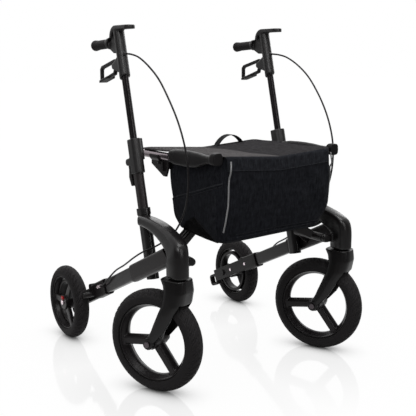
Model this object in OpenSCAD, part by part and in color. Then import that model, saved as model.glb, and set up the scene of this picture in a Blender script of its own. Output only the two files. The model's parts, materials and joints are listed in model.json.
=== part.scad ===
// All-terrain rollator: two side frames on a folding cross brace, with swivelling
// front wheels, sprung brake levers, a sling seat and a bag under it.
// X runs to the user's left, -Y is forward, Z is up, and the origin is on the floor.

/* [Stance] */
// Distance between the rear wheel centres
rear_track = 660; // [640:1:720]
// Distance between the two steering axes
steer_track = 570; // [566:1:600]
// Distance from the steering axes back to the rear axles
wheelbase = 585; // [575:1:610]
// Distance from the origin back to the rear axles
rear_axle_y = 268; // [200:1:300]
// Slope of the legs from the rear axles up to the steering heads
leg_slope = 25; // [24:0.5:26]

/* [Front wheels] */
// Diameter of the front tyres
front_wheel_d = 280; // [270:1:290]
// Width of the front tyres
front_tyre_w = 56; // [50:1:58]
// Diameter of the seat of the front tyre on its rim
front_seat_d = 212; // [204:1:216]
// Inner diameter of the front rim band
front_rim_inner_d = 184; // [176:1:190]
// Width of the front rim band
front_rim_w = 44; // [36:1:48]
// Diameter of the front axles
front_axle_d = 10; // [8:0.5:12]
// Distance of the front axles behind their steering axes
trail = 70; // [60:1:75]
// Turn of both front wheels at rest
caster_turn = 25; // [0:1:40]

/* [Rear wheels] */
// Diameter of the rear tyres
rear_wheel_d = 230; // [220:1:236]
// Width of the rear tyres
rear_tyre_w = 46; // [40:1:48]
// Diameter of the seat of the rear tyre on its rim
rear_seat_d = 168; // [160:1:174]
// Inner diameter of the rear rim band
rear_rim_inner_d = 150; // [140:1:156]
// Width of the rear rim band
rear_rim_w = 36; // [30:1:40]
// Diameter of the rear axle bolts
rear_axle_d = 12; // [10:0.5:14]

/* [Wheel spokes] */
// Number of spokes in each wheel
spoke_count = 3; // [3:1:6]
// Width of a front spoke at the middle of the wheel
front_spoke_w = 31; // [24:1:36]
// Width of a front spoke at its outer faces
front_spoke_face_w = 18; // [12:1:22]
// Depth of a front spoke along the axle
front_spoke_depth = 30; // [20:1:36]
// Diameter of the front hubs
front_hub_d = 38; // [32:1:44]
// Diameter of the rear hubs
rear_hub_d = 46; // [42:1:54]
// Outer diameter of the brake drum on the inner side of a rear wheel
rear_drum_d = 142; // [130:1:144]
// Wall of the brake drum
rear_drum_wall = 9; // [6:0.5:12]
// Width of a rear spoke
rear_spoke_w = 24; // [18:1:30]
// Depth of a rear spoke along the axle
rear_spoke_depth = 12; // [8:1:16]

/* [Forks] */
// Height of the fork crown's top above the top of the tyre
crown_rise = 37; // [34:1:50]
// Gap between the tyre and the fork, all round
fork_tyre_gap = 8; // [5:0.5:10]
// Gap between the tyre's sides and the fork blades
fork_side_gap = 4; // [3:0.5:6]
// Thickness of the fork blades
blade_t = 11; // [9:0.5:14]
// Diameter of the steering stems
stem_d = 24; // [20:1:28]
// Length of the steering stems above the crown
stem_l = 70; // [50:1:74]

/* [Frame] */
// Width of the steering heads
head_w = 47; // [44:1:54]
// Length of the steering heads, front to back
head_l = 62; // [56:1:68]
// Height of the steering heads up to the bend of the swan necks
head_h = 40; // [36:1:46]
// Width of the swan necks at the uprights
swan_root_w = 36; // [34:1:40]
// Height of the swan necks at the uprights
swan_root_h = 30; // [26:1:36]
// Height of the leg sleeves
sleeve_h = 50; // [46:1:54]
// Length of the leg sleeves
sleeve_l = 250; // [220:1:254]
// Height of the rear leg tubes
leg_h = 40; // [36:1:42]
// Wall of the frame tubes
tube_wall = 2; // [1.6:0.1:2.4]

/* [Uprights] */
// Distance between the two uprights
upright_track = 516; // [510:1:518]
// Backward tilt of the uprights
upright_tilt = 14; // [12:0.5:16]
// Height of the lower ends of the uprights
upright_foot_z = 272; // [266:1:278]
// Distance of the lower ends of the uprights in front of the origin
upright_foot_y = 143; // [138:1:146]
// Depth of the lower upright tubes, front to back
lower_tube_l = 42; // [40:1:46]
// Length of the lower upright tubes
lower_tube_h = 181; // [176:1:190]
// Wall of the upper upright tubes
upper_tube_wall = 1.6; // [1.2:0.1:2]
// Depth of the upper upright tubes, front to back
upper_tube_l = 34; // [32:1:36]
// Height of the collar rings on the lower tubes
collar_h = 18; // [12:1:24]

/* [Handles] */
// Diameter of the handle tubes
handle_tube_d = 20; // [18:0.5:20.5]
// Height of the handle heads' lower ends along the uprights
handle_head_base = 561; // [540:1:580]
// Length of the handle heads along the tubes
handle_head_l = 143; // [138:1:150]
// Outer diameter of the handle heads round the tubes
handle_head_d = 31; // [28:1:34]
// Height of the height clamps' lower ends along the uprights
clamp_base = 296; // [285:1:305]
// Length of the height clamps
clamp_l = 97; // [90:1:110]
// Length of the hand grips
grip_l = 92; // [88:1:105]
// Diameter of the hand grips
grip_d = 27; // [24:1:32]
// Droop of the hand grips
grip_droop = 3; // [0:0.5:6]

/* [Brakes] */
// Diameter of the brake cables
cable_d = 5; // [4:0.5:6]
// Width of the brake levers
lever_w = 10; // [8:0.5:12]
// Width of the brake levers' lower bars
lever_pad_w = 26; // [18:1:30]
// Diameter of the brake shoes
shoe_d = 16; // [12:1:18]
// Gap between a brake shoe and its tyre with the lever let go
shoe_gap = 3; // [2:0.5:5]

/* [Cross brace] */
// Distance of the brace hinges from the mid-plane
hinge_x = 236; // [230:1:238]
// Height of the brace hinges
hinge_z = 352; // [348:1:356]
// Width of the brace arms, front to back
arm_w = 30; // [26:1:32]
// Thickness of the brace arms
arm_t = 20; // [18:1:22]
// Diameter of the brace hinge pins
hinge_pin_d = 10; // [8:0.5:12]

/* [Seat] */
// Distance of the seat rails from the mid-plane
rail_x = 197; // [194:1:200]
// Height of the seat rails
rail_z = 607; // [602:1:612]
// Diameter of the seat rails
rail_d = 22; // [20:0.5:24]
// Length of the seat rails
rail_l = 278; // [260:1:284]
// Length of the rail grips
rail_grip_l = 228; // [220:1:232]
// Thickness of the seat sling
sling_t = 5; // [3:0.5:6]
// Sag of the seat sling at its middle
sling_sag = 12; // [8:1:16]

/* [Bag] */
// Width of the bag
bag_w = 378; // [366:1:382]
// Depth of the bag at its top
bag_top_l = 200; // [180:1:206]
// Depth of the bag at its bottom
bag_bottom_l = 130; // [120:1:134]
// Height of the bag
bag_h = 196; // [180:1:200]

/* [Hidden] */
// Clearances that every fit shares
running_clearance = 0.05;
sliding_clearance = 0.1;
face_gap = 0.3;
overrun = 1;
ring_sides = 24;

// Wheel centres and axes
front_r = front_wheel_d / 2;
rear_r = rear_wheel_d / 2;
steer_y = rear_axle_y - wheelbase;
steer_x = steer_track / 2;
rear_x = rear_track / 2;
fork_gap = front_tyre_w + 2 * fork_side_gap;
fork_w = fork_gap + 2 * blade_t;
fork_top_z = front_wheel_d + crown_rise;
steer_gap = 2;
head_bottom_z = fork_top_z + steer_gap;
stem_top_gap = 2;

// Wheel details
rim_edge = 3;
rim_well_share = 0.2;
rim_lip_d = 4;
hub_side_gap = 2;
spoke_sink = 3;
front_spoke_turn = 82;
axle_cap_d = 16;
axle_cap_h = 4;
boss_d = 31;
rear_hub_gap = 1;
rear_hub_proud = 2;
rear_spoke_out = 8;
rear_drum_in = 22;
rear_drum_sink = 3;
rear_spoke_rim_share = 0.7;
axle_head_d = 15;
axle_head_h = 4;
axle_nut_d = 20;
axle_nut_h = 5;
tab_w = 13;
tab_h = 9;
tab_l = 10;
tab_proud = 4;
tab_travel = 3;
tab_radius = 15;

// Fork outline: height, front edge, rear edge and half width of each section
fork_mid_z = front_r;
fork_drop = fork_top_z - fork_mid_z;
fork_height_shares = [1, 0.91, 0.82, 0.62, 0.49, 0.3, 0.2, 0.06, 0];
fork_front_shares = [-0.48, -0.5, -0.51, -0.4, -0.17, 0.12, 0.27, 0.6, 0.76];
fork_rear_shares = [0.63, 0.5, 0.45, 0.53, 0.67, 0.88, 0.98, 1.16, 1.24];
fork_width_shares = [0.78, 0.83, 0.89, 0.97, 1, 1, 1, 1, 1];
fork_power = 3.2;
washer_d = 40;

// Swan neck path, as reaches from the upright and from the head
swan_root_h_up = 166;
swan_root_out = 8;
swan_top_runs = [0, 0.106, 0.222, 0.346, 0.467, 0.583, 0.699, 0.805, 0.894, 0.951, 0.98, 0.994, 1];
swan_top_rises = [1, 1.013, 1.015, 1.001, 0.967, 0.917, 0.837, 0.751, 0.661, 0.566, 0.437, 0.258, 0];
swan_low_runs = [0, 0.14, 0.285, 0.432, 0.578, 0.718, 0.831, 0.902, 0.951, 0.981, 0.995, 1, 1];
swan_low_rises = [1, 1.01, 0.966, 0.893, 0.78, 0.631, 0.466, 0.339, 0.229, 0.136, 0.076, 0.034, 0];
swan_steps = len(swan_top_runs) - 1;
swan_power = 4;

// Leg and upright places
upright_x = upright_track / 2;
handle_slack = 0.2;
upper_bore_w = handle_tube_d + 2 * handle_slack;
upper_tube_w = upper_bore_w + 2 * upper_tube_wall;
lower_bore_w = upper_tube_w + 2 * sliding_clearance;
lower_tube_w = lower_bore_w + 2 * tube_wall;
sleeve_w = 2 * (steer_x - upright_x - lower_tube_w / 2);
leg_w = sleeve_w - 2 * tube_wall - 2 * sliding_clearance;
sleeve_corner = 9;
leg_corner = 5;
leg_rear_d = 140;
leg_insert = 60;
sleeve_front_d = 640;
sleeve_core_d = 600;
sleeve_rear_d = sleeve_front_d - sleeve_l;
collar_lip = 2;
tube_floor = 14;
upper_tube_base = tube_floor;
upper_tube_top = clamp_base + 50;
handle_tube_base = 216;
handle_tube_top_gap = 17;

// Height clamp
clamp_w = 31;
clamp_depth = 44;
clamp_corner = 14;
clamp_inner_w = 5;
clamp_inner_l = 28;
clamp_inner_h = 60;
clamp_pivot_h = 36;
clamp_pivot_back = 29;
clamp_pivot_d = 8;
clamp_ear_d = 20;
clamp_ear_w = 5;
paddle_w = 20;
paddle_t = 11;
paddle_l = 62;

// Handle head, measured back and up from its lower end on the tube's axis
web_w = 13;
web_low = 14;
root_back = 80;
root_up = 100;
root_d = 33;
root_l = 11;
spigot_d = 16;
horn_front = 44;
horn_back = 62;
horn_up = 148;
horn_t = 11;
horn_w = 32;
horn_corner = 32;
horn_back_low = 112;
head_slant = 22;
head_slant_h = 12;
lever_back = 56;
lever_up = 36;
lever_pin_d = 6;
lever_boss_d = 18;
lever_cheek = 4;
lever_l = 90;
lever_top = 20;
lever_drop = 48;
lever_nose = 24;
lever_bar = 9;
lever_pad_t = 7;
lever_pad_l = 52;
grip_lip_d = 31;
grip_lip_l = 14;
cable_exit_up = 70;
cable_exit_d = 9;
cable_exit_l = 8;

// Rear bracket, measured along the leg from the rear axle
bracket_front_d = 208;
bracket_step_d = 132;
bracket_h = 48;
bracket_plate_h = 40;
bracket_plate_w = 18;
bracket_wall = 5;
bracket_cup_corner = 7;
axle_boss_d = 42;
pedal_l = 92;
pedal_loop_l = 44;
pedal_h = 40;
pedal_wall = 8;
pedal_corner = 12;
pedal_drop = 12;
rivet_d = 10;
rivet_h = 2;
rivet_places = [50, 142];
barrel_d = 9;
barrel_l = 22;

// Brake arm
brake_pivot_d = 130;
brake_pivot_up = 16;
brake_pin_d = 8;
brake_boss_d = 20;
brake_arm_t = 7;
shoe_angle = 22;
shoe_reach = rear_r + shoe_gap + shoe_d / 2;
shoe_side = 18;
cup_w = leg_w + 2 * sliding_clearance + 2 * bracket_wall;
cup_outer_x = steer_x + cup_w / 2;
cup_inner_x = steer_x - cup_w / 2;

// Brace and hinges
lug_front_y = 306;
lug_rear_y = 172;
lug_t = 12;
lug_d = 24;
lug_foot_h = 24;
pin_head_d = 20;
pin_head_h = 5;
pin_tail = 3;
barrel_od = 24;
arm_a_front_y = 262;
arm_pitch = 44;
arm_skew = 170;
arm_wall = 4;
arm_rib_h = 1.2;
arm_rib_w = 4;
arm_start = 9;
arm_top_drop = 12;
saddle_l = 44;
saddle_wall = 5;
saddle_lip = 3;
plate_t = 5;
plate_front_y = 136;
plate_rear_y = 44;
plate_drop = 56;
plate_rear_drop = 26;
plate_tip_share = 0.7;
latch_w = 9;
latch_l = 26;
latch_proud = 5;
centre_pin_d = 12;
centre_boss_d = 22;
centre_share = hinge_x / (hinge_x + rail_x);
arm_top_z = rail_z - arm_top_drop;
centre_z = hinge_z + (arm_top_z - hinge_z) * centre_share;
barrel_front_y = lug_front_y - lug_t - face_gap;
barrel_rear_y = lug_rear_y + lug_t + face_gap;

// Seat rails and grips
rail_rear_y = 4;
rail_front_y = rail_rear_y + rail_l;
rail_grip_front_y = 372;
rail_grip_w = 27;
grip_y_shares = [0, 0.05, 0.16, 0.32, 0.46, 0.6, 0.72, 0.82, 0.88, 0.92, 1];
grip_top_shares = [0.6, 0.82, 0.95, 1, 1, 0.95, 0.86, 0.84, 0.9, 1.2, 1.2];
grip_low_shares = [0.7, 0.82, 0.95, 1, 0.98, 0.82, 0.3, -0.1, -0.1, -0.02, -0.02];
grip_wide_shares = [0.8, 0.9, 1, 1, 1, 0.94, 0.84, 0.82, 0.9, 1.1, 1.08];
grip_up = 27;
grip_low = 17;
grip_sides = 16;

// Seat sling and bag
sling_front_y = 380;
sling_rear_y = 6;
sling_edge_z = rail_z + rail_d / 2 + face_gap;
sling_rear_reach = 8;
sling_flat_x = rail_x - rail_d / 2;
sling_step_y = 136;
bag_front_y = 380;
bag_bottom_front_y = 370;
bag_bulge = 6;
bag_corner = 24;
bag_inner_corner = 5;
bag_wing_w = 12;
bag_wing_rear_ys = [186, 154, 145, 138, 132, 127, 124];
bag_wide_shares = [0.955, 0.985, 1, 1, 1, 0.99, 0.945];
bag_corner_steps = 4;
bag_rows = len(bag_wide_shares) - 1;
bag_top_z = sling_edge_z - sling_sag - face_gap;
strap_w = 26;
strap_t = 2;
strap_span = 96;
strap_rise = 30;
strap_rear_y = 8;
strap_x = 80;

// Brake cable route on the user's left side
cable_route = [
    [258, -14, 887], [258, -50, 884], [258, -90, 875], [258, -140, 852], [257, -190, 818],
    [256, -235, 770], [254, -270, 722], [252, -294, 675], [250, -308, 630], [248, -312, 585],
    [246, -307, 540], [244, -294, 500], [242, -272, 464], [240, -244, 432], [240, -214, 404],
    [250, -190, 386], [268, -168, 369], [286, -140, 353], [294, -100, 329], [297, -50, 298],
    [299, 0, 271], [304, 40, 238], [306, 72, 212], [306, 90, 204]
];
cable_sides = 8;

$fn = 64;

function mix(a, b, t) = a + (b - a) * t;
function ease(t) = t * t * (3 - 2 * t);
function rounded(v, power) = sign(v) * pow(abs(v), 2 / power);
function unit(v) = v / norm(v);
function at_upright(h) = [
    upright_x,
    -upright_foot_y + h * sin(upright_tilt),
    upright_foot_z + h * cos(upright_tilt)
];
// Point of the leg's axis, a distance forward of the rear axle
function at_leg(d) = [steer_x, rear_axle_y - d * cos(leg_slope), rear_r + d * sin(leg_slope)];
// Ring of an oval section, turning from side towards up
function oval_ring(middle, side, up, half_w, half_h, power, count) = [
    for (i = [0 : count - 1])
        middle + side * half_w * rounded(cos(360 * i / count), power)
            + up * half_h * rounded(sin(360 * i / count), power)
];
function arc_points(middle, r, from, to, steps) = [
    for (i = [0 : steps])
        middle + r * [cos(mix(from, to, i / steps)), sin(mix(from, to, i / steps))]
];

// Closed solid through a row of rings with equal counts of points
module skin(rings) {
    count = len(rings[0]);
    last = len(rings) - 1;
    polyhedron(
        points = [for (ring = rings) each ring],
        faces = concat(
            [[for (i = [0 : count - 1]) i]],
            [[for (i = [count - 1 : -1 : 0]) last * count + i]],
            [for (j = [0 : last - 1], i = [0 : count - 1])
                [j * count + i, (j + 1) * count + i, (j + 1) * count + (i + 1) % count]],
            [for (j = [0 : last - 1], i = [0 : count - 1])
                [j * count + i, (j + 1) * count + (i + 1) % count, j * count + (i + 1) % count]]
        ),
        convexity = 6
    );
}

module on_side(side) {
    if (side < 0) mirror([1, 0, 0]) children();
    else children();
}

module on_upright(h) {
    translate(at_upright(h)) rotate([-upright_tilt, 0, 0]) children();
}

module on_leg(d) {
    translate(at_leg(d)) rotate([-leg_slope, 0, 0]) children();
}

module on_caster(side) {
    translate([side * steer_x, steer_y, 0]) rotate(caster_turn) children();
}

// Handle head's own frame: level, at the lower end of the head on the tube's axis
module on_head() {
    translate(at_upright(handle_head_base)) children();
}

// Round bar along X, centred
module cross_bar(d, l) {
    rotate([0, 90, 0]) cylinder(d = d, h = l, center = true);
}

// Round bar along Y, from its front end backwards
module long_bar(d, l) {
    rotate([-90, 0, 0]) cylinder(d = d, h = l);
}

// Outline in the YZ plane, drawn as back and up, given a width across X
module side_plate(w) {
    rotate([90, 0, 90]) linear_extrude(w, center = true) children();
}

module stadium(w, l) {
    square([w, l - w], center = true);
    for (end = [-1, 1]) translate([0, end * (l - w) / 2]) circle(d = w);
}

module rounded_rect(w, l, r) {
    square([w - 2 * r, l], center = true);
    square([w, l - 2 * r], center = true);
    for (a = [-1, 1], b = [-1, 1]) translate([a * (w / 2 - r), b * (l / 2 - r)]) circle(r);
}

// Bar of a rounded section along the leg, from one distance to a greater one
module leg_bar(from, to, w, h, r) {
    on_leg(from) rotate([90, 0, 0]) linear_extrude(to - from) rounded_rect(w, h, r);
}

// Points of the swan neck's side outline, from the upright to the steering head
function swan_top(i) = let (root = at_upright(swan_root_h_up)) [
    mix(root[1], steer_y - head_l / 2, swan_top_runs[i]),
    mix(head_bottom_z + head_h, root[2] + swan_root_h / 2, swan_top_rises[i])
];
function swan_low(i) = let (root = at_upright(swan_root_h_up)) [
    mix(root[1], steer_y + head_l / 2, swan_low_runs[i]),
    mix(head_bottom_z + head_h, root[2] - swan_root_h / 2, swan_low_rises[i])
];
function swan_x(t) = mix(upright_x + swan_root_out, steer_x, ease(t));

module upright_envelope() {
    on_upright(0) linear_extrude(lower_tube_h) stadium(lower_tube_w, lower_tube_l);
    on_upright(lower_tube_h - overrun) linear_extrude(collar_h + overrun)
        stadium(lower_tube_w + 2 * collar_lip, lower_tube_l + 2 * collar_lip);
}

module hinge_bore(d) {
    translate([hinge_x, -lug_front_y - overrun, hinge_z]) long_bar(d, lug_front_y - lug_rear_y + 2 * overrun);
}

// Steering head and the curved neck that joins it to the upright, with the bore for the
// stem and the front lug of the brace hinge
module swan_neck(side) {
    neck = [
        for (i = [0 : swan_steps])
            let (t = i / swan_steps, top = swan_top(i), low = swan_low(i), rise = (top - low) / 2)
            oval_ring(
                [swan_x(t), (top + low)[0] / 2, (top + low)[1] / 2], [1, 0, 0], unit([0, rise[0], rise[1]]),
                mix(swan_root_w, head_w, t) / 2, norm(rise), swan_power, ring_sides
            )
    ];
    foot = oval_ring(
        [steer_x, steer_y, head_bottom_z], [1, 0, 0], [0, -1, 0], head_w / 2, head_l / 2, swan_power, ring_sides
    );
    color("#2b2a2c") on_side(side) difference() {
        union() {
            skin(concat(neck, [foot]));
            translate([hinge_x, -lug_front_y, hinge_z]) long_bar(lug_d, lug_t);
            translate([hinge_x, -lug_front_y, hinge_z - lug_d / 2])
                cube([steer_x - hinge_x - stem_d / 2 - tube_wall, lug_t, lug_d]);
        }
        upright_envelope();
        hinge_bore(hinge_pin_d + 2 * running_clearance);
        translate([steer_x, steer_y, head_bottom_z - overrun])
            cylinder(d = stem_d + 2 * running_clearance, h = stem_l + stem_top_gap);
    }
}

// Outline in front of the swan neck's underside and the steering head's rear face
module head_cope() {
    low = [for (i = [swan_steps / 2 : swan_steps]) swan_low(i) - [-1, 1] * sliding_clearance];
    rear = steer_y + head_l / 2 + sliding_clearance;
    polygon(concat(
        low,
        [[rear, head_bottom_z - sleeve_h], [steer_y - head_l, head_bottom_z - sleeve_h]],
        [[steer_y - head_l, low[0][1] + sleeve_h], [low[0][0], low[0][1] + sleeve_h]]
    ));
}

// Sleeve of the leg, coped to the neck and head, with the rear lug of the brace hinge
module leg_sleeve(side) {
    inner = steer_x - sleeve_w / 2;
    foot_z = rear_r + tan(leg_slope) * (rear_axle_y + lug_rear_y + lug_t / 2);
    color("#343335") on_side(side) difference() {
        union() {
            leg_bar(sleeve_rear_d, sleeve_front_d, sleeve_w, sleeve_h, sleeve_corner);
            translate([0, -lug_rear_y, 0]) rotate([90, 0, 0]) linear_extrude(lug_t) {
                translate([hinge_x, hinge_z]) circle(d = lug_d);
                polygon([
                    [hinge_x, hinge_z + lug_d / 2],
                    [inner + tube_wall / 2, foot_z + lug_foot_h / 2],
                    [inner + tube_wall / 2, foot_z - lug_foot_h / 2],
                    [hinge_x, hinge_z - lug_d / 2]
                ]);
            }
        }
        leg_bar(
            sleeve_rear_d - overrun, sleeve_core_d,
            leg_w + 2 * sliding_clearance, leg_h + 2 * sliding_clearance, leg_corner
        );
        translate([steer_x, 0, 0]) side_plate(2 * sleeve_w) head_cope();
        hinge_bore(hinge_pin_d + 2 * running_clearance);
    }
}

module leg_tube(side) {
    front = sleeve_rear_d + leg_insert;
    color("#262527") on_side(side) difference() {
        leg_bar(leg_rear_d, front, leg_w, leg_h, leg_corner);
        leg_bar(
            leg_rear_d - overrun, front + overrun,
            leg_w - 2 * tube_wall, leg_h - 2 * tube_wall, leg_corner - tube_wall
        );
    }
}

module lower_upright(side) {
    color("#222123") on_side(side) difference() {
        upright_envelope();
        on_upright(tube_floor) linear_extrude(lower_tube_h + collar_h)
            stadium(lower_bore_w, upper_tube_l + 2 * sliding_clearance);
    }
}

module upper_upright(side) {
    color("#343335") on_side(side) on_upright(upper_tube_base)
        linear_extrude(upper_tube_top - upper_tube_base) difference() {
            stadium(upper_tube_w, upper_tube_l);
            stadium(upper_bore_w, upper_tube_l - 2 * upper_tube_wall);
        }
}

// Height clamp: a moulded block on the upright's top, with ears and a pin for its lever
module height_clamp(side) {
    ear_x = paddle_w / 2 + face_gap;
    color("#1d1c1e") on_side(side) on_upright(clamp_base) difference() {
        union() {
            difference() {
                union() {
                    linear_extrude(clamp_l) rounded_rect(clamp_w, clamp_depth, clamp_corner);
                    translate([-clamp_w / 2, 0, clamp_l - clamp_inner_h]) linear_extrude(clamp_inner_h)
                        rounded_rect(2 * clamp_inner_w, clamp_inner_l, clamp_inner_w / 2);
                    translate([0, clamp_pivot_back, clamp_pivot_h])
                        cross_bar(clamp_ear_d, 2 * (ear_x + clamp_ear_w));
                    translate([-ear_x - clamp_ear_w, 0, clamp_pivot_h - clamp_ear_d / 2])
                        cube([2 * (ear_x + clamp_ear_w), clamp_pivot_back, clamp_ear_d]);
                }
                translate([0, clamp_pivot_back, clamp_pivot_h])
                    cross_bar(clamp_ear_d + 2 * overrun, 2 * ear_x);
                translate([-ear_x, clamp_depth / 2, -overrun]) cube([2 * ear_x, clamp_depth, clamp_pivot_h + overrun]);
            }
            translate([0, clamp_pivot_back, clamp_pivot_h]) cross_bar(clamp_pivot_d, 2 * ear_x + clamp_ear_w);
        }
        translate([0, 0, -overrun]) linear_extrude(upper_tube_top - clamp_base + overrun)
            stadium(upper_tube_w + 2 * sliding_clearance, upper_tube_l + 2 * sliding_clearance);
        cylinder(d = handle_tube_d + 2 * running_clearance, h = clamp_l + overrun);
    }
}

// Lever of the height clamp, hanging down behind the upright
module clamp_lever(side) {
    boss_r = clamp_ear_d / 2 - face_gap;
    color("#151416") on_side(side) on_upright(clamp_base)
        translate([0, clamp_pivot_back, clamp_pivot_h]) difference() {
            union() {
                cross_bar(2 * boss_r, paddle_w);
                side_plate(paddle_w) {
                    translate([-paddle_t / 2, -paddle_l]) square([paddle_t, paddle_l]);
                    translate([0, -paddle_l]) circle(d = paddle_t);
                    polygon([
                        [-paddle_t / 2, -paddle_l / 2],
                        [paddle_t / 2, -paddle_l / 3],
                        [paddle_t, -paddle_l * 2 / 3],
                        [paddle_t / 2, -paddle_l]
                    ]);
                }
            }
            cross_bar(clamp_pivot_d + 2 * running_clearance, paddle_w + 2 * overrun);
        }
}

module handle_tube(side) {
    l = handle_head_base + handle_head_l - handle_tube_top_gap - handle_tube_base;
    color("#2b2a2c") on_side(side) on_upright(handle_tube_base) difference() {
        cylinder(d = handle_tube_d, h = l);
        translate([0, 0, -overrun]) cylinder(d = handle_tube_d - 2 * tube_wall, h = l + 2 * overrun);
    }
}

module on_grip() {
    on_head() translate([0, root_back, root_up]) rotate([-grip_droop, 0, 0]) children();
}

// Top of the handle head: the horn, rounding over into the back of the grip's root
module head_cap_outline() {
    turn = [horn_back - horn_corner, horn_up - horn_corner];
    polygon(concat(
        [[0, horn_up]],
        arc_points(turn, horn_corner, 90, 0, 8),
        [[root_back, horn_back_low], [root_back - horn_t, horn_back_low]],
        arc_points(turn, horn_corner - horn_t, 0, 90, 8),
        [[0, horn_up - horn_t]]
    ));
}

// Moulded handle head on its tube, with the horn in front and the grip's root behind
module handle_head(side) {
    lean = tan(upright_tilt);
    web_up = horn_up - horn_t / 2;
    pivot = [0, lever_back, lever_up];
    cheek_x = lever_w / 2 + face_gap + lever_cheek / 2;
    low = lever_up + 2 * lever_boss_d;
    color("#1b1a1c") on_side(side) difference() {
        union() {
            on_upright(handle_head_base) cylinder(d = handle_head_d, h = handle_head_l);
            on_head() {
                side_plate(web_w) polygon([
                    [low * lean, low], [web_up * lean, web_up], [horn_back - horn_corner, web_up],
                    [root_back, root_up], [root_back, root_up - root_d / 2], [lever_back, low]
                ]);
                side_plate(horn_w) head_cap_outline();
                translate([0, (horn_back - horn_corner - horn_front) / 2, horn_up - horn_t])
                    linear_extrude(horn_t) stadium(horn_w, horn_front + horn_back - horn_corner);
                for (s = [-1, 1]) translate([s * cheek_x, 0, 0]) side_plate(lever_cheek) {
                    translate([lever_back, lever_up]) circle(d = lever_boss_d);
                    polygon([
                        [web_low * lean, web_low], [lever_back, lever_up - lever_boss_d / 2],
                        [lever_back, lever_up + lever_boss_d / 2], [low * lean, low]
                    ]);
                }
                translate(pivot) cross_bar(lever_pin_d, 2 * cheek_x);
                translate([0, cable_exit_up * lean - handle_head_d / 2 - cable_exit_l, cable_exit_up])
                    long_bar(cable_exit_d, handle_head_d / 2 + cable_exit_l);
            }
            on_grip() {
                long_bar(root_d, root_l);
                long_bar(spigot_d, root_l + grip_l - grip_lip_l);
            }
        }
        on_upright(handle_head_base - overrun)
            cylinder(d = handle_tube_d + 2 * sliding_clearance, h = handle_head_l - handle_tube_top_gap + overrun);
        on_upright(handle_head_base) side_plate(2 * handle_head_d) polygon([
            [-handle_head_d, -overrun], [handle_head_d, -overrun],
            [handle_head_d / 2, 0], [-handle_head_d / 2, head_slant_h], [-handle_head_d, head_slant_h]
        ]);
    }
}

module hand_grip(side) {
    r = grip_d / 2;
    color("#121213") on_side(side) on_grip() translate([0, root_l, 0]) rotate([-90, 0, 0]) rotate_extrude()
        difference() {
            polygon(concat(
                [[0, 0], [r, 0], [r, grip_l - 2 * grip_lip_l], [grip_lip_d / 2, grip_l - grip_lip_l / 2]],
                arc_points([grip_lip_d / 2 - grip_lip_l / 3, grip_l - grip_lip_l / 3], grip_lip_l / 3, 0, 90, 6),
                [[0, grip_l]]
            ));
            square([spigot_d / 2 + sliding_clearance, grip_l - grip_lip_l + face_gap]);
        }
}

// Brake lever: a closed loop for the fingers, with a broad lower bar
module brake_lever(side) {
    pad_rise = (lever_drop - lever_nose) * lever_pad_l / lever_l;
    color("#19181a") on_side(side) on_head() translate([0, lever_back, lever_up]) difference() {
        union() {
            cross_bar(lever_boss_d, lever_w);
            side_plate(lever_w) difference() {
                lever_outline();
                offset(delta = -lever_bar) lever_outline();
            }
            side_plate(lever_pad_w) polygon([
                [lever_l - lever_bar, -lever_drop], [lever_l - lever_bar, lever_pad_t - lever_drop],
                [lever_l - lever_bar - lever_pad_l, lever_pad_t - lever_drop + pad_rise],
                [lever_l - lever_bar - lever_pad_l, pad_rise - lever_drop]
            ]);
        }
        cross_bar(lever_pin_d + 2 * running_clearance, lever_pad_w);
    }
}

module lever_outline() {
    polygon([
        [-lever_boss_d / 2, 0], [0, lever_top], [lever_l - lever_bar, 0], [lever_l, -lever_bar],
        [lever_l, lever_bar - lever_drop], [lever_l - lever_bar, -lever_drop], [0, -lever_nose]
    ]);
}

// Cable swept along its route, square to each stretch
module brake_cable(side) {
    last = len(cable_route) - 1;
    rings = [
        for (i = [0 : last])
            let (
                way = unit(cable_route[min(i + 1, last)] - cable_route[max(i - 1, 0)]),
                across = unit(cross(way, cross([1, 0, 0], way))),
                up = cross(way, across)
            )
            oval_ring(cable_route[i], across, up, cable_d / 2, cable_d / 2, 2, cable_sides)
    ];
    color("#141314") on_side(side) skin(rings);
}

// Rear bracket: a cup on the leg's end, a plate for the axle and a pedal loop for tipping
module rear_bracket(side) {
    plate_x = cup_inner_x + bracket_plate_w / 2;
    color("#2a292b") on_side(side) difference() {
        union() {
            leg_bar(bracket_step_d, bracket_front_d, cup_w, bracket_h, bracket_cup_corner);
            on_leg(0) translate([plate_x - steer_x, 0, 0]) side_plate(bracket_plate_w) difference() {
                union() {
                    translate([-bracket_step_d - overrun, -bracket_plate_h / 2])
                        square([bracket_step_d + pedal_l - pedal_loop_l + pedal_wall, bracket_plate_h]);
                    translate([pedal_l - pedal_loop_l / 2, -pedal_drop])
                        rounded_rect(pedal_loop_l, pedal_h, pedal_corner);
                }
                translate([pedal_l - pedal_loop_l / 2, -pedal_drop])
                    rounded_rect(pedal_loop_l - 2 * pedal_wall, pedal_h - 2 * pedal_wall, pedal_corner - pedal_wall);
            }
            translate([(cup_inner_x + cup_outer_x) / 2, rear_axle_y, rear_r]) cross_bar(axle_boss_d, cup_w);
            on_leg(brake_pivot_d) translate([0, 0, brake_pivot_up]) {
                cross_bar(brake_boss_d, cup_w);
                translate([0, 0, -brake_pivot_up / 2]) cube([cup_w, brake_boss_d, brake_pivot_up], center = true);
                translate([cup_w / 2, 0, 0]) cross_bar(brake_pin_d, 2 * brake_arm_t + 2 * overrun);
            }
        }
        leg_bar(
            leg_rear_d, bracket_front_d + overrun,
            leg_w + 2 * sliding_clearance, leg_h + 2 * sliding_clearance, leg_corner
        );
        translate([steer_x, rear_axle_y, rear_r]) cross_bar(rear_axle_d + 2 * running_clearance, 2 * cup_w);
    }
}

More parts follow.
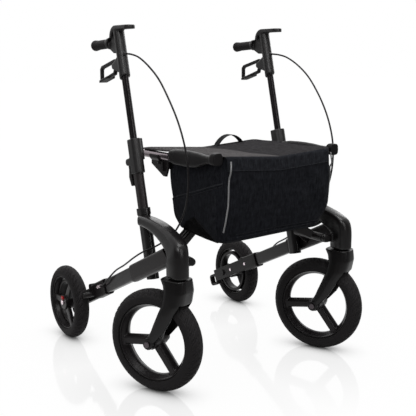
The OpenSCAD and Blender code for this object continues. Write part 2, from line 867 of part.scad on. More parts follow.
// Rivet heads on the inner face of the rear bracket
module rivets(side) {
    color("#c9c9cc") on_side(side) for (d = rivet_places) on_leg(d)
        translate([-cup_w / 2, 0, 0]) rotate([0, -90, 0]) cylinder(d1 = rivet_d, d2 = rivet_d / 2, h = rivet_h);
}

module cable_barrel(side) {
    tip = cable_route[len(cable_route) - 1];
    color("#d0d0d2") on_side(side) translate(tip) rotate([-leg_slope, 0, 0]) long_bar(barrel_d, barrel_l);
}

// Brake arm on the bracket's pin, carrying the shoe in front of the tyre
module brake_arm(side) {
    shoe = [rear_x, rear_axle_y - shoe_reach * cos(shoe_angle), rear_r + shoe_reach * sin(shoe_angle)];
    arm_x = cup_outer_x + face_gap + brake_arm_t / 2;
    shoe_l = rear_tyre_w - 2 * shoe_side;
    pivot = at_leg(brake_pivot_d) + brake_pivot_up * [0, sin(leg_slope), cos(leg_slope)];
    color("#1a191b") on_side(side) difference() {
        union() {
            hull() {
                translate([arm_x, pivot[1], pivot[2]]) cross_bar(brake_boss_d, brake_arm_t);
                translate([arm_x, shoe[1], shoe[2]]) cross_bar(shoe_d, brake_arm_t);
            }
            translate([arm_x, shoe[1], shoe[2]]) rotate([0, 90, 0])
                cylinder(d = shoe_d, h = rear_x + shoe_l / 2 - arm_x);
        }
        translate([arm_x, pivot[1], pivot[2]]) cross_bar(brake_pin_d + 2 * running_clearance, 2 * brake_arm_t);
    }
}

rear_hub_in = cup_outer_x + rear_hub_gap;
rear_hub_out = rear_x + rear_tyre_w / 2 - rear_hub_proud;

module rear_axle(side) {
    color("#b9b9bd") on_side(side) translate([0, rear_axle_y, rear_r]) rotate([0, 90, 0]) {
        translate([0, 0, cup_inner_x]) cylinder(d = rear_axle_d, h = rear_hub_out + face_gap - cup_inner_x);
        translate([0, 0, rear_hub_out + face_gap]) cylinder(d = axle_head_d, h = axle_head_h);
        translate([0, 0, cup_inner_x - axle_nut_h]) cylinder(d = axle_nut_d, h = axle_nut_h);
    }
}

// Band of a wheel rim round Z: thin at its edges, with a well at the middle
module rim_band(inner_d, seat_d, w) {
    for (s = [-1, 1]) rotate_extrude() translate([seat_d / 2 - face_gap - rim_lip_d / 2, s * w / 2])
        circle(d = rim_lip_d);
    rotate_extrude() polygon([
        [seat_d / 2 - rim_edge, -w / 2], [seat_d / 2, -w / 2], [seat_d / 2, w / 2],
        [seat_d / 2 - rim_edge, w / 2], [inner_d / 2, w * rim_well_share / 2],
        [inner_d / 2, -w * rim_well_share / 2]
    ]);
}

// Tyre round Z: a round section seated on the rim
module tyre(d, w, seat_d) {
    rotate_extrude() difference() {
        translate([d / 2 - w / 2, 0]) circle(d = w);
        translate([0, -w]) square([seat_d / 2, 2 * w]);
    }
}

module on_rear_wheel(side) {
    on_side(side) translate([rear_x, rear_axle_y, rear_r]) rotate([0, 90, 0]) children();
}

module tab_block(grow, l) {
    translate([-tab_radius, 0, rear_hub_out - rear_x + tab_proud - l / 2])
        cube([tab_h + 2 * grow, tab_w + 2 * grow, l], center = true);
}

module rear_rim(side) {
    color("#252426") on_rear_wheel(side) difference() {
        union() {
            rim_band(rear_rim_inner_d, rear_seat_d, rear_rim_w);
            translate([0, 0, rear_hub_in - rear_x]) cylinder(d = rear_hub_d, h = rear_hub_out - rear_hub_in);
            rotate_extrude() translate([rear_drum_d / 2 - rear_drum_wall, -rear_drum_in])
                square([rear_drum_wall, rear_drum_in + rear_spoke_out - rear_spoke_depth / 2 + rear_drum_sink]);
            for (i = [0 : spoke_count - 1]) rotate(90 + 360 * i / spoke_count)
                translate([0, 0, rear_spoke_out - rear_spoke_depth / 2]) linear_extrude(rear_spoke_depth) polygon([
                    [0, -rear_spoke_w / 2],
                    [rear_seat_d / 2 - spoke_sink, -rear_spoke_rim_share * rear_spoke_w / 2],
                    [rear_seat_d / 2 - spoke_sink, rear_spoke_rim_share * rear_spoke_w / 2],
                    [0, rear_spoke_w / 2]
                ]);
        }
        translate([0, 0, rear_hub_in - rear_x - overrun])
            cylinder(d = rear_axle_d + 2 * running_clearance, h = rear_hub_out - rear_hub_in + 2 * overrun);
        tab_block(face_gap, tab_l + tab_travel + face_gap);
        translate([0, 0, tab_l]) tab_block(face_gap, tab_l + tab_travel + face_gap);
    }
}

module rear_tyre(side) {
    color("#1c1b1c") on_rear_wheel(side) tyre(rear_wheel_d, rear_tyre_w, rear_seat_d);
}

module release_tab(side) {
    color("#e0331f") on_rear_wheel(side) tab_block(0, tab_l);
}

// Fork in its own frame: the steering axis on Z, the axle behind it, and the floor at zero
module fork(side) {
    rings = [
        for (i = [0 : len(fork_height_shares) - 1])
            let (front = trail * fork_front_shares[i], rear = trail * fork_rear_shares[i])
            oval_ring(
                [0, (front + rear) / 2, fork_mid_z + fork_drop * fork_height_shares[i]],
                [1, 0, 0], [0, -1, 0],
                fork_w / 2 * fork_width_shares[i], (rear - front) / 2, fork_power, ring_sides
            )
    ];
    color("#1f1e20") on_caster(side) difference() {
        union() {
            skin(rings);
            translate([0, trail, front_r]) cross_bar(boss_d, fork_w);
            translate([0, 0, fork_top_z - crown_rise / 2]) cylinder(d = stem_d, h = stem_l + crown_rise / 2);
            translate([0, 0, fork_top_z - overrun]) cylinder(d = washer_d, h = steer_gap + overrun - face_gap);
        }
        translate([0, trail, front_r]) {
            cross_bar(front_wheel_d + 2 * fork_tyre_gap, fork_gap);
            cross_bar(front_axle_d + 2 * running_clearance, 2 * fork_w);
        }
    }
}

module front_axle(side) {
    color("#55555a") on_caster(side) translate([0, trail, front_r]) {
        cross_bar(front_axle_d, fork_w);
        for (s = [-1, 1]) translate([s * (fork_w + axle_cap_h) / 2, 0, 0]) cross_bar(axle_cap_d, axle_cap_h);
    }
}

module on_front_wheel(side) {
    on_caster(side) translate([0, trail, front_r]) rotate([0, 90, 0]) children();
}

// Front rim with spokes that are broad in the middle and narrow to both faces
module front_rim(side) {
    hub_l = fork_gap - 2 * hub_side_gap;
    color("#2a292b") on_front_wheel(side) difference() {
        union() {
            rim_band(front_rim_inner_d, front_seat_d, front_rim_w);
            cylinder(d = front_hub_d, h = hub_l, center = true);
            for (i = [0 : spoke_count - 1]) rotate(front_spoke_turn + 360 * i / spoke_count) rotate([90, 0, 90])
                linear_extrude(front_seat_d / 2 - spoke_sink) polygon([
                    [-front_spoke_w / 2, 0], [-front_spoke_face_w / 2, -front_spoke_depth / 2],
                    [front_spoke_face_w / 2, -front_spoke_depth / 2], [front_spoke_w / 2, 0],
                    [front_spoke_face_w / 2, front_spoke_depth / 2], [-front_spoke_face_w / 2, front_spoke_depth / 2]
                ]);
        }
        cylinder(d = front_axle_d + 2 * running_clearance, h = 2 * hub_l, center = true);
    }
}

module front_tyre(side) {
    color("#1c1b1c") on_front_wheel(side) tyre(front_wheel_d, front_tyre_w, front_seat_d);
}

module hinge_pin(side) {
    color("#1a191b") on_side(side) translate([hinge_x, -lug_front_y, hinge_z]) {
        long_bar(hinge_pin_d, lug_front_y - lug_rear_y + pin_tail);
        translate([0, -pin_head_h, 0]) long_bar(pin_head_d, pin_head_h);
    }
}

module seat_rail(side) {
    color("#8d8d90") on_side(side) translate([rail_x, -rail_front_y, rail_z]) difference() {
        long_bar(rail_d, rail_l);
        translate([0, -overrun, 0]) long_bar(rail_d - 2 * tube_wall, rail_l + 2 * overrun);
    }
}

// Moulded hand grip on the front of a seat rail: flat on top, with a belly below
module rail_grip(side) {
    rings = [
        for (i = [0 : len(grip_y_shares) - 1])
            let (top = grip_up * grip_top_shares[i], low = grip_low * grip_low_shares[i])
            oval_ring(
                [rail_x, rail_grip_l - rail_grip_front_y - rail_grip_l * grip_y_shares[i], rail_z + (top - low) / 2],
                [1, 0, 0], [0, 0, 1],
                rail_grip_w / 2 * grip_wide_shares[i], (top + low) / 2, fork_power, grip_sides
            )
    ];
    color("#171618") on_side(side) difference() {
        skin(rings);
        translate([rail_x, -rail_front_y, rail_z]) long_bar(rail_d + 2 * sliding_clearance, rail_l);
    }
}

// Section of a brace arm: a channel open below, with ribs along its top
module channel_section() {
    difference() {
        square([arm_t, arm_w], center = true);
        translate([arm_wall, 0]) square([arm_t, arm_w - 2 * arm_wall], center = true);
    }
    for (k = [-1, 0, 1]) translate([-(arm_t + arm_rib_h) / 2, k * arm_w / 3])
        square([arm_rib_h + arm_wall, arm_rib_w], center = true);
}

// Brace arm from its hinge on one side up to the seat rail on the other
module brace_arm(side) {
    front = arm_a_front_y - (side > 0 ? 0 : arm_pitch);
    span = hinge_x + rail_x;
    l = norm([span, arm_skew, arm_top_z - hinge_z]);
    level = atan2(norm([span, arm_skew]), arm_top_z - hinge_z);
    middle_y = arm_w / 2 - front;
    top_y = middle_y + arm_skew;
    centre_y = middle_y + arm_skew * centre_share;
    tip_y = mix(plate_rear_y, plate_front_y, plate_tip_share);
    plate_top = rail_z - rail_d / 4;
    color("#2f2e30") on_side(side) difference() {
        union() {
            translate([hinge_x, middle_y, hinge_z]) rotate([0, level, atan2(arm_skew, -span)])
                translate([0, 0, arm_start]) linear_extrude(l - arm_start) channel_section();
            translate([hinge_x, -barrel_front_y, hinge_z]) long_bar(barrel_od, barrel_front_y - barrel_rear_y);
            translate([0, centre_y - arm_pitch / 2 + face_gap / 2, centre_z])
                long_bar(centre_boss_d, arm_pitch - face_gap);
            translate([-rail_x, top_y - saddle_l / 2, rail_z]) difference() {
                long_bar(rail_d + 2 * saddle_wall, saddle_l);
                translate([-rail_d, -overrun, saddle_lip]) cube([2 * rail_d, saddle_l + 2 * overrun, rail_d]);
            }
            translate([-rail_x, 0, 0]) side_plate(plate_t) polygon([
                [-plate_rear_y, plate_top], [-plate_rear_y, rail_z - plate_rear_drop],
                [-tip_y, rail_z - plate_drop], [-(tip_y + plate_front_y) / 2, rail_z - plate_drop],
                [-plate_front_y, rail_z - plate_drop / 2], [-plate_front_y, plate_top]
            ]);
            translate([-rail_x - plate_t / 2 - latch_proud / 2, -tip_y, rail_z - plate_drop / 2])
                cube([latch_proud, latch_w, latch_l], center = true);
        }
        translate([hinge_x, -barrel_front_y - overrun, hinge_z])
            long_bar(hinge_pin_d + 2 * running_clearance, barrel_front_y - barrel_rear_y + 2 * overrun);
        translate([hinge_x, -barrel_rear_y, hinge_z]) long_bar(lug_d + 2 * face_gap, arm_w);
        translate([0, -front, centre_z]) long_bar(centre_pin_d + 2 * running_clearance, 2 * front);
        translate([-rail_x, -rail_front_y, rail_z]) long_bar(rail_d + 2 * sliding_clearance, rail_front_y);
    }
}

module centre_pin() {
    middle_y = arm_w / 2 - arm_a_front_y + arm_skew * centre_share + arm_pitch / 2;
    color("#1a191b") translate([0, middle_y - arm_pitch, centre_z]) {
        long_bar(centre_pin_d, 2 * arm_pitch);
        for (y = [-pin_tail, 2 * arm_pitch]) translate([0, y, 0]) long_bar(centre_boss_d, pin_tail);
    }
}

// Seat sling: lies on the rails behind the rail grips, runs between the grips in front
// and dips to a crease along the middle
module seat_sling() {
    wide = rail_x + sling_rear_reach;
    narrow = rail_x - rail_grip_w / 2 * max(grip_wide_shares) - face_gap;
    color("#39373a") {
        sling_strip(wide, sling_rear_y, sling_step_y);
        sling_strip(narrow, sling_step_y - overrun, sling_front_y);
    }
}

// Stretch of the sling of one half width, from a rear place to a front one
module sling_strip(half, rear_y, front_y) {
    places = half > sling_flat_x ? [-half, -sling_flat_x, 0, sling_flat_x, half] : [-half, 0, half];
    line = [for (x = places) [x, sling_height(x)]];
    translate([0, -rear_y, 0]) rotate([90, 0, 0]) linear_extrude(front_y - rear_y) polygon(concat(
        line,
        [for (i = [len(line) - 1 : -1 : 0]) line[i] + [0, sling_t]]
    ));
}

function sling_height(x) = sling_edge_z - sling_sag * max(0, 1 - abs(x) / sling_flat_x);

// Outline of the bag at one level: rounded front corners, a back panel in front of the
// brace, and a side panel on each side that reaches further back
function bag_ring(half, front, back, rear, z) = let (
    right = [
        [half - bag_wing_w, back], [half - bag_wing_w, rear - bag_inner_corner],
        [half - bag_wing_w / 2, rear], [half, rear - bag_inner_corner]
    ],
    corner = arc_points([half - bag_corner, front + bag_corner], bag_corner, 0, -90, bag_corner_steps),
    way = concat(right, corner)
) concat(
    [for (p = way) [p[0], p[1], z]],
    [for (i = [len(way) - 1 : -1 : 0]) [-way[i][0], way[i][1], z]]
);

module bag() {
    rings = [
        for (i = [0 : bag_rows])
            let (t = i / bag_rows, front_y = mix(bag_bottom_front_y, bag_front_y, t))
            bag_ring(
                bag_w / 2 * bag_wide_shares[i], -front_y - bag_bulge * sin(180 * t),
                mix(bag_bottom_l, bag_top_l, t) - front_y, -bag_wing_rear_ys[i], bag_top_z - bag_h * (1 - t)
            )
    ];
    color("#17181c") skin([for (ring = rings) [for (i = [len(ring) - 1 : -1 : 0]) ring[i]]]);
}

// Webbing loop at the back of the seat, pulled to fold the frame
module pull_strap() {
    r = (pow(strap_span / 2, 2) + pow(strap_rise, 2)) / (2 * strap_rise);
    base_z = sling_height(strap_x) + sling_t + face_gap;
    slope = atan2(sling_sag, rail_x - rail_d / 2);
    color("#1d1d20") translate([strap_x, -strap_rear_y, base_z]) rotate([90, -slope, 0])
        linear_extrude(strap_w) difference() {
            translate([0, strap_rise - r]) circle(r);
            translate([0, strap_rise - r]) circle(r - strap_t);
            translate([-strap_span, -2 * strap_span]) square([2 * strap_span, 2 * strap_span]);
        }
}

swan_neck(-1);  // swan_neck_right
leg_sleeve(-1);  // leg_sleeve_right
leg_tube(-1);  // leg_tube_right
lower_upright(-1);  // lower_upright_right
upper_upright(-1);  // upper_upright_right
height_clamp(-1);  // height_clamp_right
clamp_lever(-1);  // clamp_lever_right
handle_tube(-1);  // handle_tube_right
handle_head(-1);  // handle_head_right
hand_grip(-1);  // hand_grip_right
brake_lever(-1);  // brake_lever_right
brake_cable(-1);  // brake_cable_right
brake_arm(-1);  // brake_arm_right
rear_bracket(-1);  // rear_bracket_right
rivets(-1);  // rivets_right
cable_barrel(-1);  // cable_barrel_right
rear_axle(-1);  // rear_axle_right
rear_rim(-1);  // rear_rim_right
rear_tyre(-1);  // rear_tyre_right
release_tab(-1);  // release_tab_right
fork(-1);  // fork_right
front_axle(-1);  // front_axle_right
front_rim(-1);  // front_rim_right
front_tyre(-1);  // front_tyre_right
hinge_pin(-1);  // hinge_pin_right
seat_rail(-1);  // seat_rail_right
rail_grip(-1);  // rail_grip_right
brace_arm(-1);  // brace_arm_right
swan_neck(1);  // swan_neck_left
leg_sleeve(1);  // leg_sleeve_left
leg_tube(1);  // leg_tube_left
lower_upright(1);  // lower_upright_left
upper_upright(1);  // upper_upright_left
height_clamp(1);  // height_clamp_left
clamp_lever(1);  // clamp_lever_left
handle_tube(1);  // handle_tube_left
handle_head(1);  // handle_head_left
hand_grip(1);  // hand_grip_left
brake_lever(1);  // brake_lever_left
brake_cable(1);  // brake_cable_left
brake_arm(1);  // brake_arm_left
rear_bracket(1);  // rear_bracket_left
rivets(1);  // rivets_left
cable_barrel(1);  // cable_barrel_left
rear_axle(1);  // rear_axle_left
rear_rim(1);  // rear_rim_left
rear_tyre(1);  // rear_tyre_left
release_tab(1);  // release_tab_left
fork(1);  // fork_left
front_axle(1);  // front_axle_left
front_rim(1);  // front_rim_left
front_tyre(1);  // front_tyre_left
hinge_pin(1);  // hinge_pin_left
seat_rail(1);  // seat_rail_left
rail_grip(1);  // rail_grip_left
brace_arm(1);  // brace_arm_left
centre_pin();
seat_sling();
bag();
pull_strap();
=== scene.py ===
"""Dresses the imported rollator: finishes, soft goods, treads, light and camera."""
import json
import math

import bpy
from mathutils import Matrix, Vector, noise

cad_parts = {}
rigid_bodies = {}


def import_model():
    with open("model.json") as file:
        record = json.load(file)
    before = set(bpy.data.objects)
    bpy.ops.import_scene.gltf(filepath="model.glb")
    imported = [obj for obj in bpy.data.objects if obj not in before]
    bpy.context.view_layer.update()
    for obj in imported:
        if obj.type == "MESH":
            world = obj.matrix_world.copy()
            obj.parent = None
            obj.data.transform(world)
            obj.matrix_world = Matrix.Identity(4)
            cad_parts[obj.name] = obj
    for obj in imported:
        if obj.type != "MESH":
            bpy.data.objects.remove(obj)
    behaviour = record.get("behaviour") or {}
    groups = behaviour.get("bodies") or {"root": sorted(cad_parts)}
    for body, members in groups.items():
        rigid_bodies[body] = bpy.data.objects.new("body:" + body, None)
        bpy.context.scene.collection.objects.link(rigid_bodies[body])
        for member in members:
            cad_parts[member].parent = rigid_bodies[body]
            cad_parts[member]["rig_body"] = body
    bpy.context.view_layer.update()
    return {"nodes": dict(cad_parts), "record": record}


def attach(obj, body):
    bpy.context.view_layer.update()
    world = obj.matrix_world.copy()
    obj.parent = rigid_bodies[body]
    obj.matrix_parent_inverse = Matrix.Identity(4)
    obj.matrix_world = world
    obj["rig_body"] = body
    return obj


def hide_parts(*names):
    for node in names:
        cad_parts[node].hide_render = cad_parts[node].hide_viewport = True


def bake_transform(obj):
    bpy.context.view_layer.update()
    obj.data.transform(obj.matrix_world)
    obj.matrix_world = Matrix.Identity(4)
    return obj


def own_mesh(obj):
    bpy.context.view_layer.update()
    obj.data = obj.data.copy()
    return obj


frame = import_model()
SIDES = {"right": -1, "left": 1}
UP, FRONT = Vector((0, 0, 1)), Vector((0, -1, 0))
WHITE = (1.0, 1.0, 1.0)


# Camera

CAMERA_PLACE = (-1.3088, -1.9628, 0.8652)
CAMERA_RIGHT = Vector((0.82728, -0.56179, 0.0))
CAMERA_FORWARD = Vector((0.5521, 0.8131, -0.1845)).normalized()
CAMERA_ROLL = math.radians(-0.19)
SENSOR_WIDTH, FOCAL_LENGTH = 36, 67.63


def aim_camera():
    """Camera at the viewing angle of the photograph."""
    up = CAMERA_RIGHT.cross(CAMERA_FORWARD)
    right = CAMERA_RIGHT * math.cos(CAMERA_ROLL) + up * math.sin(CAMERA_ROLL)
    up = up * math.cos(CAMERA_ROLL) - CAMERA_RIGHT * math.sin(CAMERA_ROLL)
    bpy.ops.object.camera_add()
    camera = bpy.context.object
    camera.matrix_world = Matrix((right, up, -CAMERA_FORWARD)).transposed().to_4x4()
    camera.location = CAMERA_PLACE
    camera.data.sensor_width = SENSOR_WIDTH
    camera.data.lens = FOCAL_LENGTH
    bpy.context.scene.camera = camera


# Shader expressions


class Value:
    """A shader socket that takes part in Python expressions."""

    def __init__(self, shading, socket):
        self.shading, self.socket = shading, socket

    def _maths(self, operation, *values):
        return self.shading.add("Math", {"operation": operation}, dict(enumerate(values)))

    def __add__(self, other):
        return self._maths("ADD", self, other)

    __radd__ = __add__

    def __sub__(self, other):
        return self._maths("SUBTRACT", self, other)

    def __rsub__(self, other):
        return self._maths("SUBTRACT", other, self)

    def __mul__(self, other):
        return self._maths("MULTIPLY", self, other)

    __rmul__ = __mul__

    def sine(self):
        return self._maths("SINE", self)

    def least(self, other):
        return self._maths("MINIMUM", self, other)

    def step(self, low, high, start=0.0, end=1.0):
        smooth = {"interpolation_type": "SMOOTHSTEP"}
        return self.shading.add("MapRange", smooth, {0: self, 1: low, 2: high, 3: start, 4: end})


class Shading:
    """A node tree, with a method that adds nodes to it."""

    def __init__(self, tree):
        self.tree = tree

    def put(self, socket, value):
        if isinstance(value, Value):
            self.tree.links.new(value.socket, socket)
        elif socket.type == "RGBA":
            socket.default_value = (*value, 1.0)
        else:
            socket.default_value = value

    def add(self, kind, settings=None, sockets=None, out=0):
        node = self.tree.nodes.new("ShaderNode" + kind)
        for name, value in (settings or {}).items():
            setattr(node, name, value)
        for name, value in (sockets or {}).items():
            self.put(node.inputs[name], value)
        return Value(self, node.outputs[out])


class Finish(Shading):
    """One material and the patterns that feed its shader."""

    def __init__(self, name, **constants):
        self.material = bpy.data.materials.new(name)
        self.material.use_nodes = True
        super().__init__(self.material.node_tree)
        self.shader = self.tree.nodes["Principled BSDF"]
        for socket, value in constants.items():
            self.into(socket.replace("_", " "), value)

    def into(self, socket, value):
        self.put(self.shader.inputs[socket], value)

    def place(self):
        return self.add("TexCoord", out="Object")

    def chart(self):
        return self.add("UVMap")

    def stretched(self, scale, source):
        return self.add("Mapping", {}, {"Vector": source, "Scale": scale})

    def grain(self, scale, detail, vector=None, rough=0.5):
        vector = vector or self.place()
        sockets = {"Vector": vector, "Scale": scale, "Detail": detail, "Roughness": rough}
        return self.add("TexNoise", {}, sockets)

    def length(self, vector):
        return self.add("VectorMath", {"operation": "LENGTH"}, {0: vector}, out="Value")

    def shade(self, factor, dark, light):
        return self.add("Mix", {"data_type": "RGBA"}, {0: factor, 6: dark, 7: light}, out=2)

    def relief(self, height, depth, strength):
        sockets = {"Strength": strength, "Distance": depth, "Height": height}
        self.into("Normal", self.add("Bump", {}, sockets))


# Finishes

# Slight warmth of black plastic and paint, and the tone that their lighter patches gain
WARMTH, LIFT = (1.14, 0.98, 1.03), 0.002


def spread(pattern, middle, width):
    """A value that a pattern varies by a width about its middle."""
    return pattern * width + (middle - width / 2)


def warm(colour, gain=1.0, lift=0.0):
    """A neutral tone made slightly warm."""
    return tuple(min(1.0, c * gain * tint + lift) for c, tint in zip(colour, WARMTH))


def moulded(name, colour, roughness, depth=0.00012, scale=2200.0, shine=0.2):
    """Moulded plastic with a fine spark-eroded grain and faint shine patches."""
    finish = Finish(name, Specular_IOR_Level=shine)
    cloud = finish.grain(scale=38.0, detail=3.0)
    fine = finish.grain(scale=scale, detail=1.0)
    finish.into("Base Color", finish.shade(cloud, warm(colour), warm(colour, gain=1.35, lift=LIFT)))
    finish.into("Roughness", spread(cloud, roughness, width=0.14) + fine * 0.05)
    finish.relief(fine, depth, strength=0.6)
    return finish.material


def coated(name, colour, roughness, shine=0.24):
    """Powder coat: a slight orange peel, and pigment that varies a little."""
    finish = Finish(name, Specular_IOR_Level=shine)
    cloud = finish.grain(scale=22.0, detail=4.0)
    peel = finish.grain(scale=900.0, detail=2.0)
    finish.into("Base Color", finish.shade(cloud, warm(colour), warm(colour, gain=1.3, lift=LIFT)))
    finish.into("Roughness", spread(cloud, roughness, width=0.12))
    finish.relief(peel, depth=0.00025, strength=0.35)
    return finish.material


def drawn(name, colour, roughness, metallic, along):
    """Drawn or anodised tube, with fine lines that run along it."""
    finish = Finish(name, Specular_IOR_Level=0.3, Metallic=metallic)
    lines = finish.grain(scale=1.0, detail=3.0, vector=finish.stretched(along, finish.place()))
    cloud = finish.grain(scale=30.0, detail=3.0)
    finish.into("Base Color", finish.shade(lines, warm(colour), warm(colour, gain=1.4, lift=LIFT)))
    finish.into("Roughness", lines * 0.1 + spread(cloud, roughness - 0.05, width=0.08))
    finish.relief(lines, depth=0.00006, strength=0.5)
    return finish.material


def rubbery(name, colour, roughness):
    """Soft rubber: dull, with a dusty bloom and a fine leathery grain."""
    finish = Finish(name, Specular_IOR_Level=0.14)
    bloom = finish.grain(scale=55.0, detail=5.0, rough=0.6)
    grain = finish.add("TexVoronoi", {}, {"Vector": finish.place(), "Scale": 1500.0})
    finish.into("Base Color", finish.shade(bloom, warm(colour), warm(colour, gain=1.6, lift=0.003)))
    finish.into("Roughness", spread(bloom, roughness, width=0.16))
    finish.relief(grain, depth=0.00015, strength=0.5)
    return finish.material


def woven(name, dark, light, threads, roughness=0.9, streak=0.5, sheen=0.03, shine=0.06):
    """Cloth on the piece's own chart in metres: crossing threads, slubs along the warp and mottling."""
    finish = Finish(name, Sheen_Weight=sheen, Sheen_Roughness=0.45, Specular_IOR_Level=shine)
    chart = finish.chart()
    across, along = (finish.add("SeparateXYZ", {}, {0: chart}, out=axis) for axis in (0, 1))
    turn = 2 * math.pi * threads
    cross = (across * turn).sine() * (along * turn).sine() * 0.5 + 0.5
    slub = finish.grain(scale=1.0, detail=4.0, vector=finish.stretched((330.0, 40.0, 1.0), chart))
    mottle = finish.grain(scale=70.0, detail=5.0, vector=chart, rough=0.62)
    tone = slub * streak + mottle * (0.9 - streak) + cross * 0.16 - 0.03
    finish.into("Base Color", finish.shade(tone.step(0.3, 0.78), dark, light))
    finish.into("Roughness", spread(mottle, roughness, width=0.12))
    finish.relief(cross * 0.55 + slub * 0.45, depth=0.0005, strength=0.55)
    return finish.material


def treaded(name, centre, turn):
    """Tyre rubber round one axle: fine rings on the sidewalls and a dusty bloom all over."""
    finish = Finish(name, Specular_IOR_Level=0.14)
    place = {"Vector": finish.place(), "Location": centre, "Rotation": turn}
    at = finish.add("Mapping", {"vector_type": "TEXTURE"}, place)
    radial = finish.add("VectorMath", {"operation": "MULTIPLY"}, {0: at, 1: (0.0, 1.0, 1.0)})
    bloom = finish.grain(scale=48.0, detail=6.0, rough=0.6)
    fine = finish.grain(scale=900.0, detail=2.0)
    rings = (finish.length(radial) * 2200.0).sine() * 0.5 + 0.5
    tone = bloom * 0.75 + fine * 0.25
    finish.into("Base Color", finish.shade(tone, (0.0085, 0.0078, 0.0082), (0.026, 0.0235, 0.0245)))
    finish.into("Roughness", spread(bloom, 0.68, width=0.16))
    finish.relief(rings * 0.3 + fine * 0.7, depth=0.0003, strength=0.5)
    return finish.material


LOOKS = {
    "frame_paint": (coated, dict(colour=(0.0052, 0.005, 0.0051), roughness=0.3, shine=0.36)),
    "sleeve_paint": (coated, dict(colour=(0.0125, 0.012, 0.012), roughness=0.42)),
    "upright_anodised": (
        drawn,
        dict(colour=(0.022, 0.0215, 0.0215), roughness=0.36, metallic=0.35, along=(260.0, 260.0, 9.0)),
    ),
    "handle_anodised": (
        drawn,
        dict(colour=(0.016, 0.016, 0.0165), roughness=0.24, metallic=0.5, along=(320.0, 320.0, 9.0)),
    ),
    "black_plastic": (moulded, dict(colour=(0.0075, 0.0074, 0.0074), roughness=0.4)),
    "head_plastic": (moulded, dict(colour=(0.008, 0.008, 0.008), roughness=0.38, depth=0.00001, shine=0.44)),
    "grip_rubber": (rubbery, dict(colour=(0.0065, 0.0064, 0.0065), roughness=0.6)),
    "cable_sheath": (moulded, dict(colour=(0.007, 0.007, 0.0075), roughness=0.34, depth=0.00005)),
    "bright_metal": (
        drawn,
        dict(colour=(0.62, 0.62, 0.63), roughness=0.26, metallic=1.0, along=(300.0, 40.0, 300.0)),
    ),
    "rim_plastic": (moulded, dict(colour=(0.011, 0.0108, 0.011), roughness=0.3, depth=0.00006)),
    "red_plastic": (moulded, dict(colour=(0.42, 0.012, 0.014), roughness=0.36)),
    "fork_plastic": (
        moulded,
        dict(colour=(0.0036, 0.0035, 0.0036), roughness=0.28, depth=0.00003, shine=0.25),
    ),
    "axle_grey": (
        drawn,
        dict(colour=(0.075, 0.075, 0.078), roughness=0.34, metallic=0.9, along=(60.0, 900.0, 900.0)),
    ),
    "rail_metal": (
        drawn,
        dict(colour=(0.2, 0.2, 0.205), roughness=0.18, metallic=0.9, along=(500.0, 9.0, 500.0)),
    ),
    "rail_grip_plastic": (
        moulded,
        dict(colour=(0.0052, 0.0052, 0.0056), roughness=0.44, depth=0.00006, scale=1700.0, shine=0.16),
    ),
    "brace_paint": (coated, dict(colour=(0.0085, 0.0083, 0.0084), roughness=0.4)),
    "sling_fabric": (
        woven,
        dict(dark=(0.037, 0.0345, 0.0352), light=(0.108, 0.1, 0.102), threads=900.0, streak=0.35),
    ),
    # Copy of the sling cloth painted darker, as shade on the lid's right half
    "sling_fabric_turned": (
        woven,
        dict(
            dark=(0.017, 0.0162, 0.0172), light=(0.058, 0.0555, 0.0585),
            threads=900.0, streak=0.35, sheen=0.0, shine=0.01,
        ),
    ),
    "bag_fabric": (woven, dict(dark=(0.003, 0.0034, 0.0052), light=(0.026, 0.0275, 0.034), threads=850.0)),
    # Copy of the bag's cloth painted lighter, as light from above on the flap over the bag's front
    "bag_fabric_top": (
        woven,
        dict(dark=(0.0052, 0.0058, 0.008), light=(0.038, 0.040, 0.0475), threads=850.0),
    ),
    # Copy of the bag's cloth painted near black, as shade in the folded base, on the floor and on the lower
    # back
    "bag_base": (
        woven,
        dict(
            dark=(0.0012, 0.0012, 0.0015), light=(0.003, 0.003, 0.0034),
            threads=700.0, roughness=0.75, streak=0.3,
        ),
    ),
    # Lighter cloth of the pocket hem, a painted highlight along its ridge
    "hem_fabric": (
        woven,
        dict(dark=(0.016, 0.017, 0.020), light=(0.06, 0.063, 0.07), threads=850.0, streak=0.4),
    ),
    "strap_webbing": (
        woven,
        dict(
            dark=(0.005, 0.005, 0.0055), light=(0.016, 0.016, 0.017),
            threads=420.0, roughness=0.7, streak=0.1,
        ),
    ),
    "piping": (
        woven,
        dict(dark=(0.24, 0.24, 0.245), light=(0.42, 0.42, 0.425), threads=700.0, roughness=0.6, streak=0.2),
    ),
    "thread": (
        woven,
        dict(
            dark=(0.03, 0.031, 0.035), light=(0.085, 0.087, 0.094),
            threads=1500.0, roughness=0.8, streak=0.2,
        ),
    ),
}
FINISHES = {name: make(name, **look) for name, (make, look) in LOOKS.items()}

# Pieces with a finish of their own in place of their slot's
FINER = {"handle_tube": "handle_anodised", "handle_head": "head_plastic", "height_clamp": "head_plastic"}


def clothe_frame():
    """Every CAD node takes the finish of its slot in the record; the tyres get theirs with the treads."""
    for part in frame["record"]["subparts"]:
        kind = part["node"].rsplit("_", 1)[0]
        name = FINER.get(kind, part["material_slot"])
        paint(frame["nodes"][part["node"]], FINISHES.get(name, FINISHES["black_plastic"]))


# Curves and lists


def smoothstep(low, high, x):
    """Rises smoothly from 0 at low to 1 at high."""
    t = min(1.0, max(0.0, (x - low) / (high - low)))
    return t * t * (3 - 2 * t)


def fading(low, high, x):
    """Falls smoothly from 1 at low to 0 at high."""
    return 1 - smoothstep(low, high, x)


def bump(x, middle, width):
    """Bell of height 1 about a middle."""
    return math.exp(-(((x - middle) / width) ** 2))


def between(a, b, c, d, t):
    """Catmull-Rom value at a share t from b to c."""
    slope = (c - a) * t
    bend = (a * 2 - b * 5 + c * 4 - d) * t * t
    twist = (b * 3 - a - c * 3 + d) * t ** 3
    return (b * 2 + slope + bend + twist) / 2


